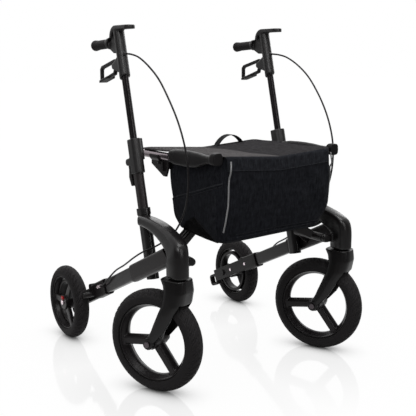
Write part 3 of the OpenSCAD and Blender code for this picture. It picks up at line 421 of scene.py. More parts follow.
def smooth_path(points, per_span):
    """Smooth curve through the points."""
    points = [Vector(p) for p in points]
    ends = [points[0] * 2 - points[1], *points, points[-1] * 2 - points[-2]]
    path = []
    for span in zip(ends, ends[1:], ends[2:], ends[3:]):
        path.extend(between(*span, k / per_span) for k in range(per_span))
    return [*path, points[-1]]


def path_length(path):
    return sum((q - p).length for p, q in zip(path, path[1:]))


def along_list(values, t):
    """Smooth value of an evenly spaced list at a share t."""
    last = len(values) - 1
    place = min(1.0, max(0.0, t)) * last
    i = min(int(place), last - 1)
    return between(values[max(0, i - 1)], values[i], values[i + 1], values[min(last, i + 2)], place - i)


# Making and finishing pieces

# Merging distance of a CAD node's triangles, angles of flat faces and sharp edges, and how edges are rounded
MERGE, FLAT_ANGLE, SHARP_ANGLE = 0.00002, 0.8, 38.0
EDGE_SEGMENTS, FILLET_FACTOR = 2, 0.5


def paint(piece, material):
    piece.data.materials.clear()
    piece.data.materials.append(material)


def only(piece):
    """Deselects everything else and makes one piece active."""
    bpy.ops.object.select_all(action="DESELECT")
    piece.select_set(True)
    bpy.context.view_layer.objects.active = piece


def apply_all(piece):
    only(piece)
    for modifier in list(piece.modifiers):
        bpy.ops.object.modifier_apply(modifier=modifier.name)


def edit(piece, *steps):
    """Runs edit-mode steps on the whole mesh of a piece."""
    only(piece)
    bpy.ops.object.mode_set(mode="EDIT")
    bpy.ops.mesh.select_all(action="SELECT")
    for operator, options in steps:
        operator(**options)
    bpy.ops.object.mode_set(mode="OBJECT")


def face_outwards(piece):
    edit(piece, (bpy.ops.mesh.normals_make_consistent, {"inside": False}))


def soften(piece, angle):
    only(piece)
    bpy.ops.object.shade_smooth_by_angle(angle=math.radians(angle))


def smooth_all(piece):
    for face in piece.data.polygons:
        face.use_smooth = True


def in_scene(name, data):
    piece = bpy.data.objects.new(name, data)
    bpy.context.scene.collection.objects.link(piece)
    return piece


def joined(name, pieces):
    only(pieces[0])
    for piece in pieces:
        piece.select_set(True)
    bpy.ops.object.join()
    piece = bpy.context.object
    piece.name = piece.data.name = name
    return piece


def take_place(piece, node):
    """The piece replaces a CAD node and rides on its body."""
    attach(piece, frame["nodes"][node]["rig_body"])
    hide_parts(node)


def finished(node, edge):
    """Copy of a CAD node with its triangles merged and its edges rounded, in the node's place."""
    piece = in_scene(node + "_finished", frame["nodes"][node].data.copy())
    edit(
        piece,
        (bpy.ops.mesh.customdata_custom_splitnormals_clear, {}),
        (bpy.ops.mesh.remove_doubles, {"threshold": MERGE}),
        (bpy.ops.mesh.dissolve_limited, {"angle_limit": math.radians(FLAT_ANGLE)}),
    )
    bevel = piece.modifiers.new("edges", "BEVEL")
    bevel.width, bevel.segments = edge, EDGE_SEGMENTS
    bevel.limit_method, bevel.angle_limit = "ANGLE", math.radians(SHARP_ANGLE)
    bevel.use_clamp_overlap = True
    apply_all(piece)
    soften(piece, SHARP_ANGLE)
    weight = piece.modifiers.new("normals", "WEIGHTED_NORMAL")
    weight.keep_sharp = True
    apply_all(piece)
    take_place(piece, node)


def cast(node, grain, rounds, share, shape=None):
    """Copy of a CAD node as a moulding with filleted edges and a share of its faces, in the node's place."""
    piece = in_scene(node + "_cast", frame["nodes"][node].data.copy())
    edit(piece, (bpy.ops.mesh.customdata_custom_splitnormals_clear, {}))
    voxels = piece.modifiers.new("voxels", "REMESH")
    voxels.mode, voxels.voxel_size = "VOXEL", grain
    if shape:
        apply_all(piece)
        shape(piece, node.rsplit("_", 1)[1])
    fillet = piece.modifiers.new("fillet", "SMOOTH")
    fillet.factor, fillet.iterations = FILLET_FACTOR, rounds
    if share < 1:
        lighten = piece.modifiers.new("lighten", "DECIMATE")
        lighten.ratio = share
    apply_all(piece)
    smooth_all(piece)
    take_place(piece, node)


def cloth_grid(name, grid, where, wall=0.0):
    """Grid shaped by where(a, b) -> point, with a chart in shares, and a wall to its inside."""
    bpy.ops.object.select_all(action="DESELECT")
    columns, rows = grid
    bpy.ops.mesh.primitive_grid_add(x_subdivisions=columns, y_subdivisions=rows, size=2.0, calc_uvs=True)
    piece = bpy.context.object
    piece.name = piece.data.name = name
    for vertex in piece.data.vertices:
        vertex.co = where(vertex.co.x / 2 + 0.5, vertex.co.y / 2 + 0.5)
    if wall:
        shell = piece.modifiers.new("wall", "SOLIDIFY")
        shell.thickness, shell.offset, shell.use_even_offset = wall, -1.0, True
        apply_all(piece)
    smooth_all(piece)
    return piece


def scale_chart(piece, width, length):
    """Stretches the chart from shares to metres."""
    for corner in piece.data.uv_layers.active.data:
        corner.uv = (corner.uv[0] * width, corner.uv[1] * length)


def tube(name, points, radius, sides, material):
    """Round tube of one thickness along points."""
    curve = bpy.data.curves.new(name, "CURVE")
    curve.dimensions = "3D"
    curve.bevel_depth, curve.bevel_resolution = radius, sides // 4 - 1
    curve.use_fill_caps = True
    spline = curve.splines.new("POLY")
    spline.points.add(len(points) - 1)
    for target, point in zip(spline.points, points):
        target.co = (*point, 1.0)
    only(in_scene(name, curve))
    bpy.ops.object.convert(target="MESH")
    piece = bpy.context.object
    soften(piece, angle=60.0)
    paint(piece, material)
    return piece


# Wheels and steering heads

TYRES = {
    "front": dict(radius=0.140, width=0.056, seat=0.106, lugs=44),
    "rear": dict(radius=0.115, width=0.046, seat=0.084, lugs=36),
}
STEER_X, STEER_Y = 0.285, -0.317
CASTER_TURN, CASTER_TRAIL = math.radians(25), 0.070
REAR_X, REAR_Y = 0.330, 0.268
AXLE_NUT_X = 0.30

# Points of a tyre's section, columns of one lug, and the bead line on the sidewall
SECTION_POINTS, LUG_COLUMNS = 44, 12
BEAD_HIGH, BEAD_TILT, BEAD_WIDE = 0.0006, 1.18, 0.05
# Depth shares of the columns of each sipe, and the tilts between which it opens and closes
SIPES = (
    dict(columns={0: 1.0, 1: 1.0, 2: 0.4, 11: 0.4}, opens=(0.14, 0.22), closes=(0.85, 0.93)),
    dict(columns={5: 0.4, 6: 1.0, 7: 0.4}, opens=(0.62, 0.68), closes=(1.02, 1.1)),
)
SIPE_DEPTH, SIPE_LEAN, LEAN_TILT = 0.0024, 0.20, 1.2
GROOVE_DEPTH, GROOVE_WIDE = 0.0009, 0.05
SEAT_MARGIN = 0.0005

# Half widths of the head's section, and the powers of its box and of the oval it turns into
HEAD_HALF = Vector((0.0235, 0.031))
BOX_POWER, OVAL_POWER, OVAL_GAIN = 4, 2.6, 1.03
# Shares of the box between which the skin lies, and where the oval ends at the neck above and behind
SKIN_INNER, SKIN_OUTER = (0.6, 0.98), (1.1, 1.3)
OVAL_TOP, OVAL_BACK = (0.34, 0.45), (0.3, 0.9)
# Ledge under the neck's root that is smoothed away
LEDGE_Y, LEDGE_Z, LEDGE_REACH, LEDGE_ROUNDS = -0.335, 0.405, (0.045, 0.020), 90


def wheel_place(end, side):
    """Matrix of a wheel, with its axle along X."""
    height = TYRES[end]["radius"]
    if end == "rear":
        return Matrix.Translation((SIDES[side] * REAR_X, REAR_Y, height))
    steer = Matrix.Translation((SIDES[side] * STEER_X, STEER_Y, 0.0)) @ Matrix.Rotation(CASTER_TURN, 4, "Z")
    return steer @ Matrix.Translation((0.0, CASTER_TRAIL, height))


def tread(end, side):
    """Tyre with slanted sipes cut into its crown, spun from its section."""
    size = TYRES[end]
    half, ring = size["width"] / 2, size["radius"] - size["width"] / 2
    reach = math.acos((size["seat"] - ring) / half)
    bpy.ops.object.select_all(action="DESELECT")
    bpy.ops.mesh.primitive_circle_add(vertices=SECTION_POINTS, radius=half, fill_type="NOTHING")
    piece = bpy.context.object
    piece.name = piece.data.name = f"{end}_tread_{side}"
    for i, vertex in enumerate(piece.data.vertices):
        tilt = -reach + 2 * reach * i / (SECTION_POINTS - 1)
        out = half + BEAD_HIGH * bump(abs(tilt), BEAD_TILT, BEAD_WIDE)
        vertex.co = (out * math.sin(tilt), 0.0, ring + out * math.cos(tilt))
    steps = size["lugs"] * LUG_COLUMNS
    edit(
        piece,
        (bpy.ops.mesh.spin, {"steps": steps, "angle": 2 * math.pi, "center": (0, 0, 0), "axis": (1, 0, 0)}),
        (bpy.ops.mesh.select_all, {"action": "SELECT"}),
        (bpy.ops.mesh.remove_doubles, {"threshold": 2 * MERGE}),
        (bpy.ops.mesh.normals_make_consistent, {"inside": False}),
    )
    for vertex in piece.data.vertices:
        u, y, z = vertex.co
        r, around = math.hypot(y, z), math.atan2(y, z)
        tilt = abs(math.atan2(u, r - ring))
        if r < size["seat"] + SEAT_MARGIN:
            continue
        column = round(around / (2 * math.pi) * steps) % LUG_COLUMNS
        for sipe in SIPES:
            window = smoothstep(*sipe["opens"], tilt) * fading(*sipe["closes"], tilt)
            r -= SIPE_DEPTH * sipe["columns"].get(column, 0.0) * window
        r -= GROOVE_DEPTH * bump(tilt, 0.0, GROOVE_WIDE)
        around += SIPE_LEAN * smoothstep(0.0, LEAN_TILT, tilt) * (1 if u > 0 else -1)
        vertex.co = (u, r * math.sin(around), r * math.cos(around))
    place = wheel_place(end, side)
    piece.data.transform(place)
    piece.data.update()
    soften(piece, angle=50.0)
    paint(piece, treaded(f"{end}_tyre_rubber_{side}", place.to_translation(), place.to_euler()))
    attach(piece, f"{side}_{end}_wheel")
    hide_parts(f"{end}_tyre_{side}")


def rounded_head(piece, side):
    """Turns the steering head's section from a rounded box towards an oval, in front and at its sides."""
    middle, half = Vector((SIDES[side] * STEER_X, STEER_Y)), HEAD_HALF
    ledge_middle = Vector((middle.x, LEDGE_Y, LEDGE_Z))
    ledge = piece.vertex_groups.new(name="ledge")
    for vertex in piece.data.vertices:
        near = smoothstep(*LEDGE_REACH, (vertex.co - ledge_middle).length)
        ledge.add([vertex.index], near, "REPLACE")
        x, y = ((vertex.co[k] - middle[k]) / half[k] for k in (0, 1))
        box = (x ** BOX_POWER + y ** BOX_POWER) ** (1 / BOX_POWER)
        if box < SKIN_INNER[0]:
            continue
        oval = (abs(x) ** OVAL_POWER + abs(y) ** OVAL_POWER) ** (1 / OVAL_POWER)
        share = fading(*OVAL_TOP, vertex.co.z) * fading(*OVAL_BACK, y)
        share *= smoothstep(*SKIN_INNER, box) * fading(*SKIN_OUTER, box)
        gain = 1 + share * (OVAL_GAIN * box / oval - 1)
        vertex.co.x, vertex.co.y = middle.x + x * half.x * gain, middle.y + y * half.y * gain
    soft = piece.modifiers.new("ledge", "SMOOTH")
    soft.factor, soft.iterations, soft.vertex_group = FILLET_FACTOR, LEDGE_ROUNDS, "ledge"


def blacken_nut(name):
    """The rear axle's nut on the inner side of the bracket is black, its head is bright."""
    piece = bpy.data.objects[name]
    piece.data.materials.append(FINISHES["black_plastic"])
    for face in piece.data.polygons:
        face.material_index = 1 if abs(face.center.x) < AXLE_NUT_X else 0


# Brake cables

# Route on the left side in millimetres, from the handle head down
CABLE_ROUTE = [
    (258, -14, 887), (258, -50, 884), (258, -90, 875), (258, -140, 852), (257, -190, 818),
    (256, -235, 770), (254, -270, 722), (252, -294, 675), (250, -308, 630), (248, -312, 585),
    (246, -307, 540), (244, -294, 500), (242, -272, 464), (240, -244, 432), (240, -214, 404),
    (250, -190, 386), (268, -168, 369), (286, -140, 353), (294, -100, 329), (297, -50, 298),
    (299, 0, 271), (304, 40, 238), (306, 72, 212), (306, 90, 204),
]
CABLE_RADIUS = 0.0025


def brake_cable(side):
    """Brake cable from the handle head down to the barrel at the rear bracket."""
    points = [Vector((SIDES[side] * x, y, z)) / 1000 for x, y, z in CABLE_ROUTE]
    path = smooth_path(points, per_span=6)
    piece = tube(f"cable_{side}", path, CABLE_RADIUS, sides=12, material=FINISHES["cable_sheath"])
    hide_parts(f"brake_cable_{side}")
    path_length(path)
    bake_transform(piece)


# Stitches

STITCH_PITCH, STITCH_THICK = 0.0048, 0.0005
STITCH_LONG = 0.62 * STITCH_PITCH
# Shares of its length between which a stitch is full, its width at the ends and on top, and its sunk base
STITCH_FULL, STITCH_ENDS, STITCH_CROWN, STITCH_BASE = (0.25, 0.75), 0.5, 0.6, -0.4


def one_stitch():
    """Mesh of a small flattened bead along X, cut from a cube in three lengths."""
    bpy.ops.object.select_all(action="DESELECT")
    bpy.ops.mesh.primitive_cube_add(size=1.0, calc_uvs=False)
    piece = bpy.context.object
    for cut in STITCH_FULL:
        edit(piece, (bpy.ops.mesh.bisect, {"plane_co": (cut - 0.5, 0, 0), "plane_no": (1, 0, 0)}))
    for vertex in piece.data.vertices:
        x, y, z = vertex.co
        at_end = math.isclose(abs(x), 0.5)
        wide = STITCH_THICK * (STITCH_ENDS if at_end else 1.0) * (STITCH_CROWN if z > 0 else 1.0)
        high = STITCH_BASE if z < 0 else 0.0 if at_end else 1.0
        vertex.co = ((x + 0.5) * STITCH_LONG, math.copysign(wide, y), STITCH_THICK * high)
    piece.data.uv_layers.new(name="UVMap")
    mesh = piece.data.copy()
    bpy.data.objects.remove(piece)
    return mesh


def stitches(name, path, out):
    """Row of sewn stitches along a path, which stand a little proud on its outward side."""
    bead, beads = one_stitch(), []
    length, run = path_length(path), 0.0
    for p, q in zip(path, path[1:]):
        span = q - p
        while len(beads) * STITCH_PITCH < min(run + span.length, length - STITCH_PITCH):
            share = max(0.0, (len(beads) * STITCH_PITCH - run) / span.length)
            way = span.normalized()
            place = Matrix((way, way.cross(out).normalized(), out)).transposed().to_4x4()
            place.translation = p.lerp(q, share)
            mesh = bead.copy()
            mesh.transform(place)
            beads.append(in_scene(name, mesh))
        run += span.length
    piece = joined(name, beads)
    face_outwards(piece)
    soften(piece, angle=60.0)
    paint(piece, FINISHES["thread"])
    return piece


# Bag

BAG_TOP, BAG_HIGH, BAG_HALF = 0.606, 0.196, 0.189
# Shares of the half width, and places of the side panels' rear edge, from bottom to top
BAG_WIDE = [0.975, 0.99, 1.0, 1.0, 1.0, 0.99, 0.945]
BAG_REAR = [0.178, 0.147, 0.140, 0.134, 0.128, 0.122, 0.119]
BAG_FRONT, FRONT_LEAN, FRONT_BELLY = 0.370, 0.010, 0.004
# Radius of the front corners, and the share of the wall's run that each side panel takes
CORNER, SIDE_SHARE = 0.024, 0.285
# Lower edge: the sag at the right front corner, and the curve up at the left one
HEM_SAG, SAG_ACROSS, SAG_BACK = 0.008, (0.10, -0.18), (-0.16, -0.29)
BAG_CURVE_FROM, BAG_CURVE_RISE, CURVE_LIMIT = 0.128, 0.038, 0.98
# Folded base at the sides, with its tuck
GUSSET_APEX, GUSSET_END, GUSSET_HIGH = 0.50, 0.98, 0.26
GUSSET_TUCK, GUSSET_POWER = 0.009, 0.6
# Side pockets: their upper line, step and hem
POCKET_LOW, POCKET_CLIMB = 0.42, 0.34
POCKET_STEP, POCKET_EDGE = 0.0022, 0.006
POCKET_HEM, POCKET_HEM_DROP, POCKET_HEM_WIDE = 0.0012, 0.012, 0.010
POCKET_ENDS, POCKET_HEM_RADIUS, POCKET_SEAM_DROP = (0.02, 1.06), 0.0018, 0.035
# Wrinkles: where they are along a panel and in height, how wide, and how fast their waves run
SIDE_WRINKLES = (
    dict(depth=0.0028, at=(0.97, 0.82), wide=(0.13, 0.11), waves=(16, 48)),
    dict(depth=0.0022, at=(0.98, 0.33), wide=(0.10, 0.08), waves=(-14, 52)),
)
FRONT_WRINKLES = (
    dict(depth=0.0026, at=(0.02, 0.84), wide=(0.10, 0.10), waves=(-22, 44)),
    dict(depth=0.0028, at=(0.86, 0.62), wide=(0.16, 0.28), waves=(26, 7)),
)
# Groove of the lower hem and the belly of the front panel: depth, height and width
HEM_GROOVE, HEM_GROOVE_AT, HEM_GROOVE_WIDE = 0.0018, 0.088, 0.014
PANEL_BELLY, PANEL_BELLY_AT, PANEL_BELLY_WIDE = 0.003, 0.45, 0.4
HEM_SEAMS, HEM_SEAM_ENDS = {"hem_seam": 0.108, "hem_seam_low": 0.068}, (0.345, 0.655)
# Front wall under the lid's flap: the flap's drop, the tuck behind it and the rim above the lid's underside
FLAP_DROP, FLAP_TUCK, FLAP_END = 0.0275, 0.0065, (0.173, 0.163)
FLAP_FADE, FLAP_BEHIND = (-0.12, -0.01), (-0.005, 0.05)
RIM_RISE, RIM_FROM, RIM_CORNER = 0.0085, (0.82, 1.0), (0.0, 0.45)
# Swelling of the cloth, its setback, and the tucks at the hem and under the curve
SWELL, SWELL_LOW, SWELL_HIGH = 0.0036, (0.0, 0.15), (0.72, 0.86)
WALL_SEED, WALL_SETBACK = 1.7, 0.0015
HEM_TUCK, HEM_TUCK_HIGH = 0.008, 0.055
CURVE_TUCK, CURVE_TUCK_HIGH = 0.030, 0.34
# Floor and back: the floor's share of the grid, their places, insets and bellies
FLOOR_SHARE, FLOOR_FRONT, FLOOR_REAR, BACK_TOP = 0.45, 0.3585, 0.242, 0.182
FLOOR_WIDE, FLOOR_INSET, FLOOR_LIFT = 0.955, 0.011, 0.0012
BACK_INSET, BACK_DROP, BACK_CRUMPLE, BACK_SEED = 0.013, 0.001, 0.0015, 8.0
FLOOR_BELLY, FLOOR_HEM_Y = 0.003, -0.2
# Cloth: its thickness, grids, charts in metres, and the share of the back, from its top, that has the bag's
# cloth; below it the back and the floor are painted dark as shade
CLOTH, BACK_UNSHADED = 0.0022, 0.75
WALL_GRID, FLOOR_GRID = (300, 100), (60, 60)
WALL_CHART, FLOOR_CHART = (0.90, 0.20), (0.36, 0.32)
# Piping: shares of the wall on the right side, the shift on the left one, and how it stands off the cloth
PIPING = [(0.3190, 0.965), (0.3197, 0.8), (0.3185, 0.5), (0.3125, 0.28), (0.3070, 0.155)]
PIPING_SHIFT, PIPING_OUT, PIPING_RADIUS = 0.023, (0.35, -0.93), 0.0021
PIPING_LIFT, PIPING_RISE, PIPING_RISE_Z = 0.0012, 0.0085, (0.572, 0.590)


def crumple(a, b, seed):
    """Soft uneven swelling of loose cloth, from -1 to 1."""
    broad = noise.noise(Vector((a * 9.0 + b * 1.6, b * 2.6, seed)))
    narrow = noise.noise(Vector((a * 26.0 - b * 4.0, b * 5.0, seed + 4.0)))
    return broad * 0.72 + narrow * 0.28


def hem_height(x, y):
    """Height of the bag's lower edge: it sags at the right front corner and curves up at the left one."""
    sag = HEM_SAG * smoothstep(*SAG_ACROSS, x) * smoothstep(*SAG_BACK, y)
    over = min(CURVE_LIMIT, max(0.0, x - BAG_CURVE_FROM) / (BAG_HALF - BAG_CURVE_FROM))
    return BAG_TOP - BAG_HIGH - sag + BAG_CURVE_RISE * (1 - math.sqrt(1 - over * over))


def gusset_limit(share):
    """Height share, at a place along a side, up to which the folded base shows."""
    arm = GUSSET_APEX if share < GUSSET_APEX else GUSSET_END - GUSSET_APEX
    return GUSSET_HIGH * max(0.0, 1 - abs(share - GUSSET_APEX) / arm)


def pocket_line(share):
    """Height share of the side pocket's upper edge."""
    return POCKET_LOW + POCKET_CLIMB * share


def wrinkled(rows, u, t):
    """Outward relief of a panel's wrinkles at a share u along it and a share t of its height."""
    relief = 0.0
    for row in rows:
        bell = bump(u, row["at"][0], row["wide"][0]) * bump(t, row["at"][1], row["wide"][1])
        relief += row["depth"] * bell * math.sin(row["waves"][0] * u + row["waves"][1] * t)
    return relief


def side_relief(share, t):
    """Outward relief of a side panel: pocket, tucked base and the wrinkles beside the piping."""
    line, limit = pocket_line(share), gusset_limit(share)
    pocket = POCKET_STEP * smoothstep(line + POCKET_EDGE, line - POCKET_EDGE, t)
    pocket += POCKET_HEM * bump(t, line - POCKET_HEM_DROP, POCKET_HEM_WIDE)
    tuck = GUSSET_TUCK * math.sin(math.pi * t / limit) ** GUSSET_POWER if 0 < t < limit else 0.0
    return pocket - tuck + wrinkled(SIDE_WRINKLES, share, t)


def front_relief(u, t):
    """Outward relief of the front panel at a share u across it, from its right edge."""
    groove = HEM_GROOVE * bump(t, HEM_GROOVE_AT, HEM_GROOVE_WIDE)
    belly = PANEL_BELLY * bump(t, PANEL_BELLY_AT, PANEL_BELLY_WIDE) * math.sin(math.pi * u)
    return wrinkled(FRONT_WRINKLES, u, t) - groove + belly


def bag_wall(a, t):
    """Point of the bag's wall: a runs from the left rear edge round to the right one, t upwards."""
    half = BAG_HALF * along_list(BAG_WIDE, t)
    front = -(BAG_FRONT + FRONT_LEAN * t) - FRONT_BELLY * math.sin(math.pi * t)
    rear = -along_list(BAG_REAR, t)
    sign = 1.0 if a < 0.5 else -1.0
    s = a if a < 0.5 else 1.0 - a
    quarter = math.pi / 2 * CORNER
    if s < SIDE_SHARE:
        share = s / SIDE_SHARE
        x, y = half, rear + (front + CORNER - rear) * share
        out, relief = Vector((1.0, 0.0, 0.0)), side_relief(share, t)
    else:
        run = (s - SIDE_SHARE) / (0.5 - SIDE_SHARE) * (quarter + half - CORNER)
        turn = run / CORNER
        if turn < math.pi / 2:
            x = half - CORNER + CORNER * math.cos(turn)
            y = front + CORNER - CORNER * math.sin(turn)
            out, relief = Vector((math.cos(turn), -math.sin(turn), 0.0)), 0.0
        else:
            x, y = half - CORNER - (run - quarter), front
            out, relief = FRONT, front_relief(0.5 + sign * x / (2 * half), t)
    facing = abs(out.y)
    low = hem_height(sign * x, y)
    flap = (lid_drop(x) - FLAP_DROP - low) / (BAG_TOP - low)
    relief *= 1 - smoothstep(*FLAP_FADE, t - flap) * facing
    top = BAG_TOP + (lid_drop(x) + RIM_RISE - BAG_TOP) * smoothstep(*RIM_CORNER, facing)
    z = low + (BAG_TOP - low) * t + (top - BAG_TOP) * smoothstep(*RIM_FROM, t)
    swell = crumple(a, t, WALL_SEED) * SWELL * smoothstep(*SWELL_LOW, t) * fading(*SWELL_HIGH, t)
    tuck = FLAP_TUCK * smoothstep(*FLAP_BEHIND, t - flap) * smoothstep(*FLAP_END, x) * facing
    tuck += HEM_TUCK * fading(0.0, HEM_TUCK_HIGH, t) ** 2
    curve = smoothstep(BAG_CURVE_FROM, BAG_HALF, sign * x)
    tuck += CURVE_TUCK * fading(0.0, CURVE_TUCK_HIGH, t) ** 2 * curve
    point = Vector((x, y, z)) + out * (swell + relief - WALL_SETBACK - tuck)
    return Vector((point.x * sign, point.y, point.z))


def bag_floor(a, b):
    """Point of the bag's floor and back: a across, b from the front lower edge back and up."""
    u = a * 2 - 1
    if b < FLOOR_SHARE:
        share = b / FLOOR_SHARE
        x = u * (BAG_HALF * FLOOR_WIDE - FLOOR_INSET)
        y = -FLOOR_FRONT + (FLOOR_FRONT - FLOOR_REAR) * share
        belly = FLOOR_BELLY * math.sin(math.pi * share) * math.sin(math.pi * a)
        return Vector((x, y, hem_height(x, FLOOR_HEM_Y) + FLOOR_LIFT - belly))
    share = (b - FLOOR_SHARE) / (1 - FLOOR_SHARE)
    x = u * (BAG_HALF * along_list(BAG_WIDE, share) - BACK_INSET)
    low = hem_height(x, FLOOR_HEM_Y)
    belly = FLOOR_BELLY * math.sin(math.pi * share) * math.sin(math.pi * a)
    y = -FLOOR_REAR + (FLOOR_REAR - BACK_TOP) * share - (belly + BACK_CRUMPLE * crumple(a, b, BACK_SEED))
    return Vector((x, y, low + (BAG_TOP - BACK_DROP - low) * share))


def wall_path(points, side="left", count=90):
    """Path on the bag's wall through shares (a, t) of its left half, or of its right half mirrored."""
    path = []
    for i in range(count + 1):
        place = i / count * (len(points) - 1)
        k = min(int(place), len(points) - 2)
        a, t = (p + (q - p) * (place - k) for p, q in zip(points[k], points[k + 1]))
        path.append(bag_wall(1 - a if side == "right" else a, t))
    return path


def on_bag(piece):
    """The piece rides on the bag's body and moves with it as the frame folds."""
    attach(piece, "bag_and_seat")
    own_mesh(piece)


def make_bag():
    """Wall, floor and back of the bag in the bag's cloth, with the folded base at the sides, the floor and
    the lower back painted dark as shade.
    """
    wall = cloth_grid("bag_wall", WALL_GRID, lambda a, b: bag_wall(1 - a, b), CLOTH)
    floor = cloth_grid("bag_floor", FLOOR_GRID, bag_floor, CLOTH)
    for piece in (wall, floor):
        paint(piece, FINISHES["bag_fabric"])
        piece.data.materials.append(FINISHES["bag_base"])
    chart = wall.data.uv_layers.active.data
    # Faces of the folded base at the sides are painted dark as shade
    for face in wall.data.polygons:
        a, t = (sum(chart[i].uv[k] for i in face.loop_indices) / face.loop_total for k in (0, 1))
        share = min(a, 1 - a) / SIDE_SHARE
        face.material_index = 1 if share < 1 and t < gusset_limit(share) else 0
    # The floor and the lower back are painted dark as shade
    for face in floor.data.polygons:
        face.material_index = 1 if face.center.z < BAG_TOP - BACK_UNSHADED * BAG_HIGH else 0
    scale_chart(wall, *WALL_CHART)
    scale_chart(floor, *FLOOR_CHART)
    bag = joined("bag_shell", [wall, floor])
    face_outwards(bag)
    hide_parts("bag")
    on_bag(bag)


def trim_bag():
    """Piping at the front corners, pocket hems and seams."""
    for side, sign in SIDES.items():
        shift = PIPING_SHIFT if side == "left" else 0.0
        path = smooth_path(wall_path([(a - shift, t) for a, t in PIPING], side, count=24), per_span=2)
        out = Vector((sign * PIPING_OUT[0], PIPING_OUT[1], 0.0))
        path = [p + out * (PIPING_LIFT + PIPING_RISE * smoothstep(*PIPING_RISE_Z, p.z)) for p in path]
        on_bag(tube(f"piping_{side}", path, PIPING_RADIUS, sides=12, material=FINISHES["piping"]))
        ends = [(SIDE_SHARE * share, pocket_line(share)) for share in POCKET_ENDS]
        path = wall_path(ends, side)
        # The pocket hem's lighter cloth is a painted highlight along its ridge
        on_bag(tube(f"pocket_hem_{side}", path, POCKET_HEM_RADIUS, sides=8, material=FINISHES["hem_fabric"]))
        path = wall_path([(a, t - POCKET_SEAM_DROP) for a, t in ends], side)
        on_bag(stitches(f"pocket_seam_{side}", path, Vector((sign, 0, 0))))
    for name, height in HEM_SEAMS.items():
        on_bag(stitches(name, wall_path([(end, height) for end in HEM_SEAM_ENDS]), FRONT))


# Lid and pull strap

# Underside at the rails, with its sag to the crease in the middle
LID_UNDER, LID_SAG, LID_SAG_HALF, LID_CREASE = 0.6183, 0.012, 0.186, 0.003
# Run from the rear edge over the flat part and the nose to the flap's edge
LID_RUN, LID_FLAT, LID_NOSE, LID_REAR = 0.408, 0.364, 0.010, 0.006
LID_HALF, LID_HALF_FRONT, LID_STEP = 0.205, 0.1815, (0.132, 0.142)
LID_GRID, LID_CHART = (120, 170), 0.40
# Lid's thickness, how far the flap thins and where, and the place past which the flap takes the bag's cloth
# painted lighter as light from above
LID_THICK, FLAP_THIN, FLAP_THIN_Y, FLAP_PAINTED_LIGHT_Y = 0.0042, 0.85, (-0.345, -0.374), -0.3722
# Height of the upper face over the underside, with what its edges, front and rear differ by
LID_HIGH, LID_EDGE_DROP, LID_EDGE = 0.0090, 0.0006, (0.9, 1.0)
LID_FRONT_RISE, LID_FRONT_Y, LID_REAR_DROP, LID_REAR_Y = 0.0035, (0.22, 0.36), 0.004, (0.16, 0.03)
LID_SLACK, FLAP_RIPPLE = 0.0016, 0.0016
# Seam across the left half at the nose, and the flap's inset, setback and slope
NOSE_SEAM, NOSE_SEAM_BACK, NOSE_SEAM_WIDE, NOSE_SEAM_FROM = 0.0012, 0.004, 0.0022, (0.0, 0.06)
FLAP_INSET, FLAP_SETBACK, FLAP_SLOPE, FLAP_WIDE = 0.009, 0.0030, 0.08, 0.99
# Seams: shares at which they lie, and the first share and the run of each
SIDE_SEAMS, SIDE_SEAM_RUN = {"lid_seam_right": 0.012, "lid_seam_left": 0.988}, (0.01, 0.88)
CROSS_SEAMS, CROSS_SEAM_RUN = {"lid_seam_rear": (0.012, UP), "flap_seam": (0.994, FRONT)}, (0.01, 0.98)
SEAM_SPANS, SEAM_LIFT = 120, 0.0003
# Pull strap: its feet, sewn ends, arch and place
STRAP_FEET, STRAP_ENDS, STRAP_RISE = (0.046, 0.128), 0.014, 0.027
STRAP_ARCH, STRAP_POWER = 0.42, 0.85
STRAP_Y, STRAP_WIDE, STRAP_BOW, STRAP_HIGH = -0.010, 0.024, 0.002, 0.0062
STRAP_THICK, STRAP_LONG, STRAP_GRID = 0.0018, 0.16, (10, 90)


def lid_drop(x):
    """Height of the lid's underside at a place across the seat."""
    return LID_UNDER - LID_SAG * max(0.0, 1 - math.hypot(x, LID_CREASE) / LID_SAG_HALF)


def lid_half(y):
    """Half width of the lid, which is narrower between the rail grips."""
    return LID_HALF - (LID_HALF - LID_HALF_FRONT) * smoothstep(*LID_STEP, y)


def lid_point(a, b):
    """Point of the lid's upper face: a across, b from the rear edge over the nose and down the front."""
    run, u = b * LID_RUN, a * 2 - 1
    quarter = LID_NOSE * math.pi / 2
    if run < LID_FLAT:
        ahead, drop, out = run, 0.0, 0.0
    elif run < LID_FLAT + quarter:
        turn = (run - LID_FLAT) / LID_NOSE
        out = math.sin(turn)
        ahead, drop = LID_FLAT + LID_NOSE * out, LID_NOSE * (1 - math.cos(turn))
    else:
        ahead, drop, out = LID_FLAT + LID_NOSE, LID_NOSE + run - LID_FLAT - quarter, 1.0
    y = LID_REAR + ahead
    x = u * (lid_half(y) - FLAP_INSET * out)
    slack = LID_SLACK * noise.noise(Vector((x * 16.0, y * 14.0, 3.0))) * math.sin(math.pi * b)
    seam = NOSE_SEAM * bump(run, LID_FLAT - NOSE_SEAM_BACK, NOSE_SEAM_WIDE) * smoothstep(*NOSE_SEAM_FROM, u)
    top = lid_drop(x) + LID_HIGH + (slack - seam) * (1 - out) - LID_EDGE_DROP * smoothstep(*LID_EDGE, abs(u))
    top += LID_FRONT_RISE * smoothstep(*LID_FRONT_Y, y) - LID_REAR_DROP * smoothstep(*LID_REAR_Y, y)
    over = min(CORNER, max(0.0, abs(x) - (BAG_HALF * FLAP_WIDE - CORNER)))
    rounding = CORNER - math.sqrt(CORNER ** 2 - over ** 2)
    slope = FLAP_SLOPE * max(0.0, drop - LID_NOSE) - FLAP_SETBACK - rounding
    ripple = FLAP_RIPPLE * noise.noise(Vector((x * 22.0, drop * 30.0, 9.0))) * out
    return Vector((x, -y - slope * out + ripple * (1 - b), top - drop))


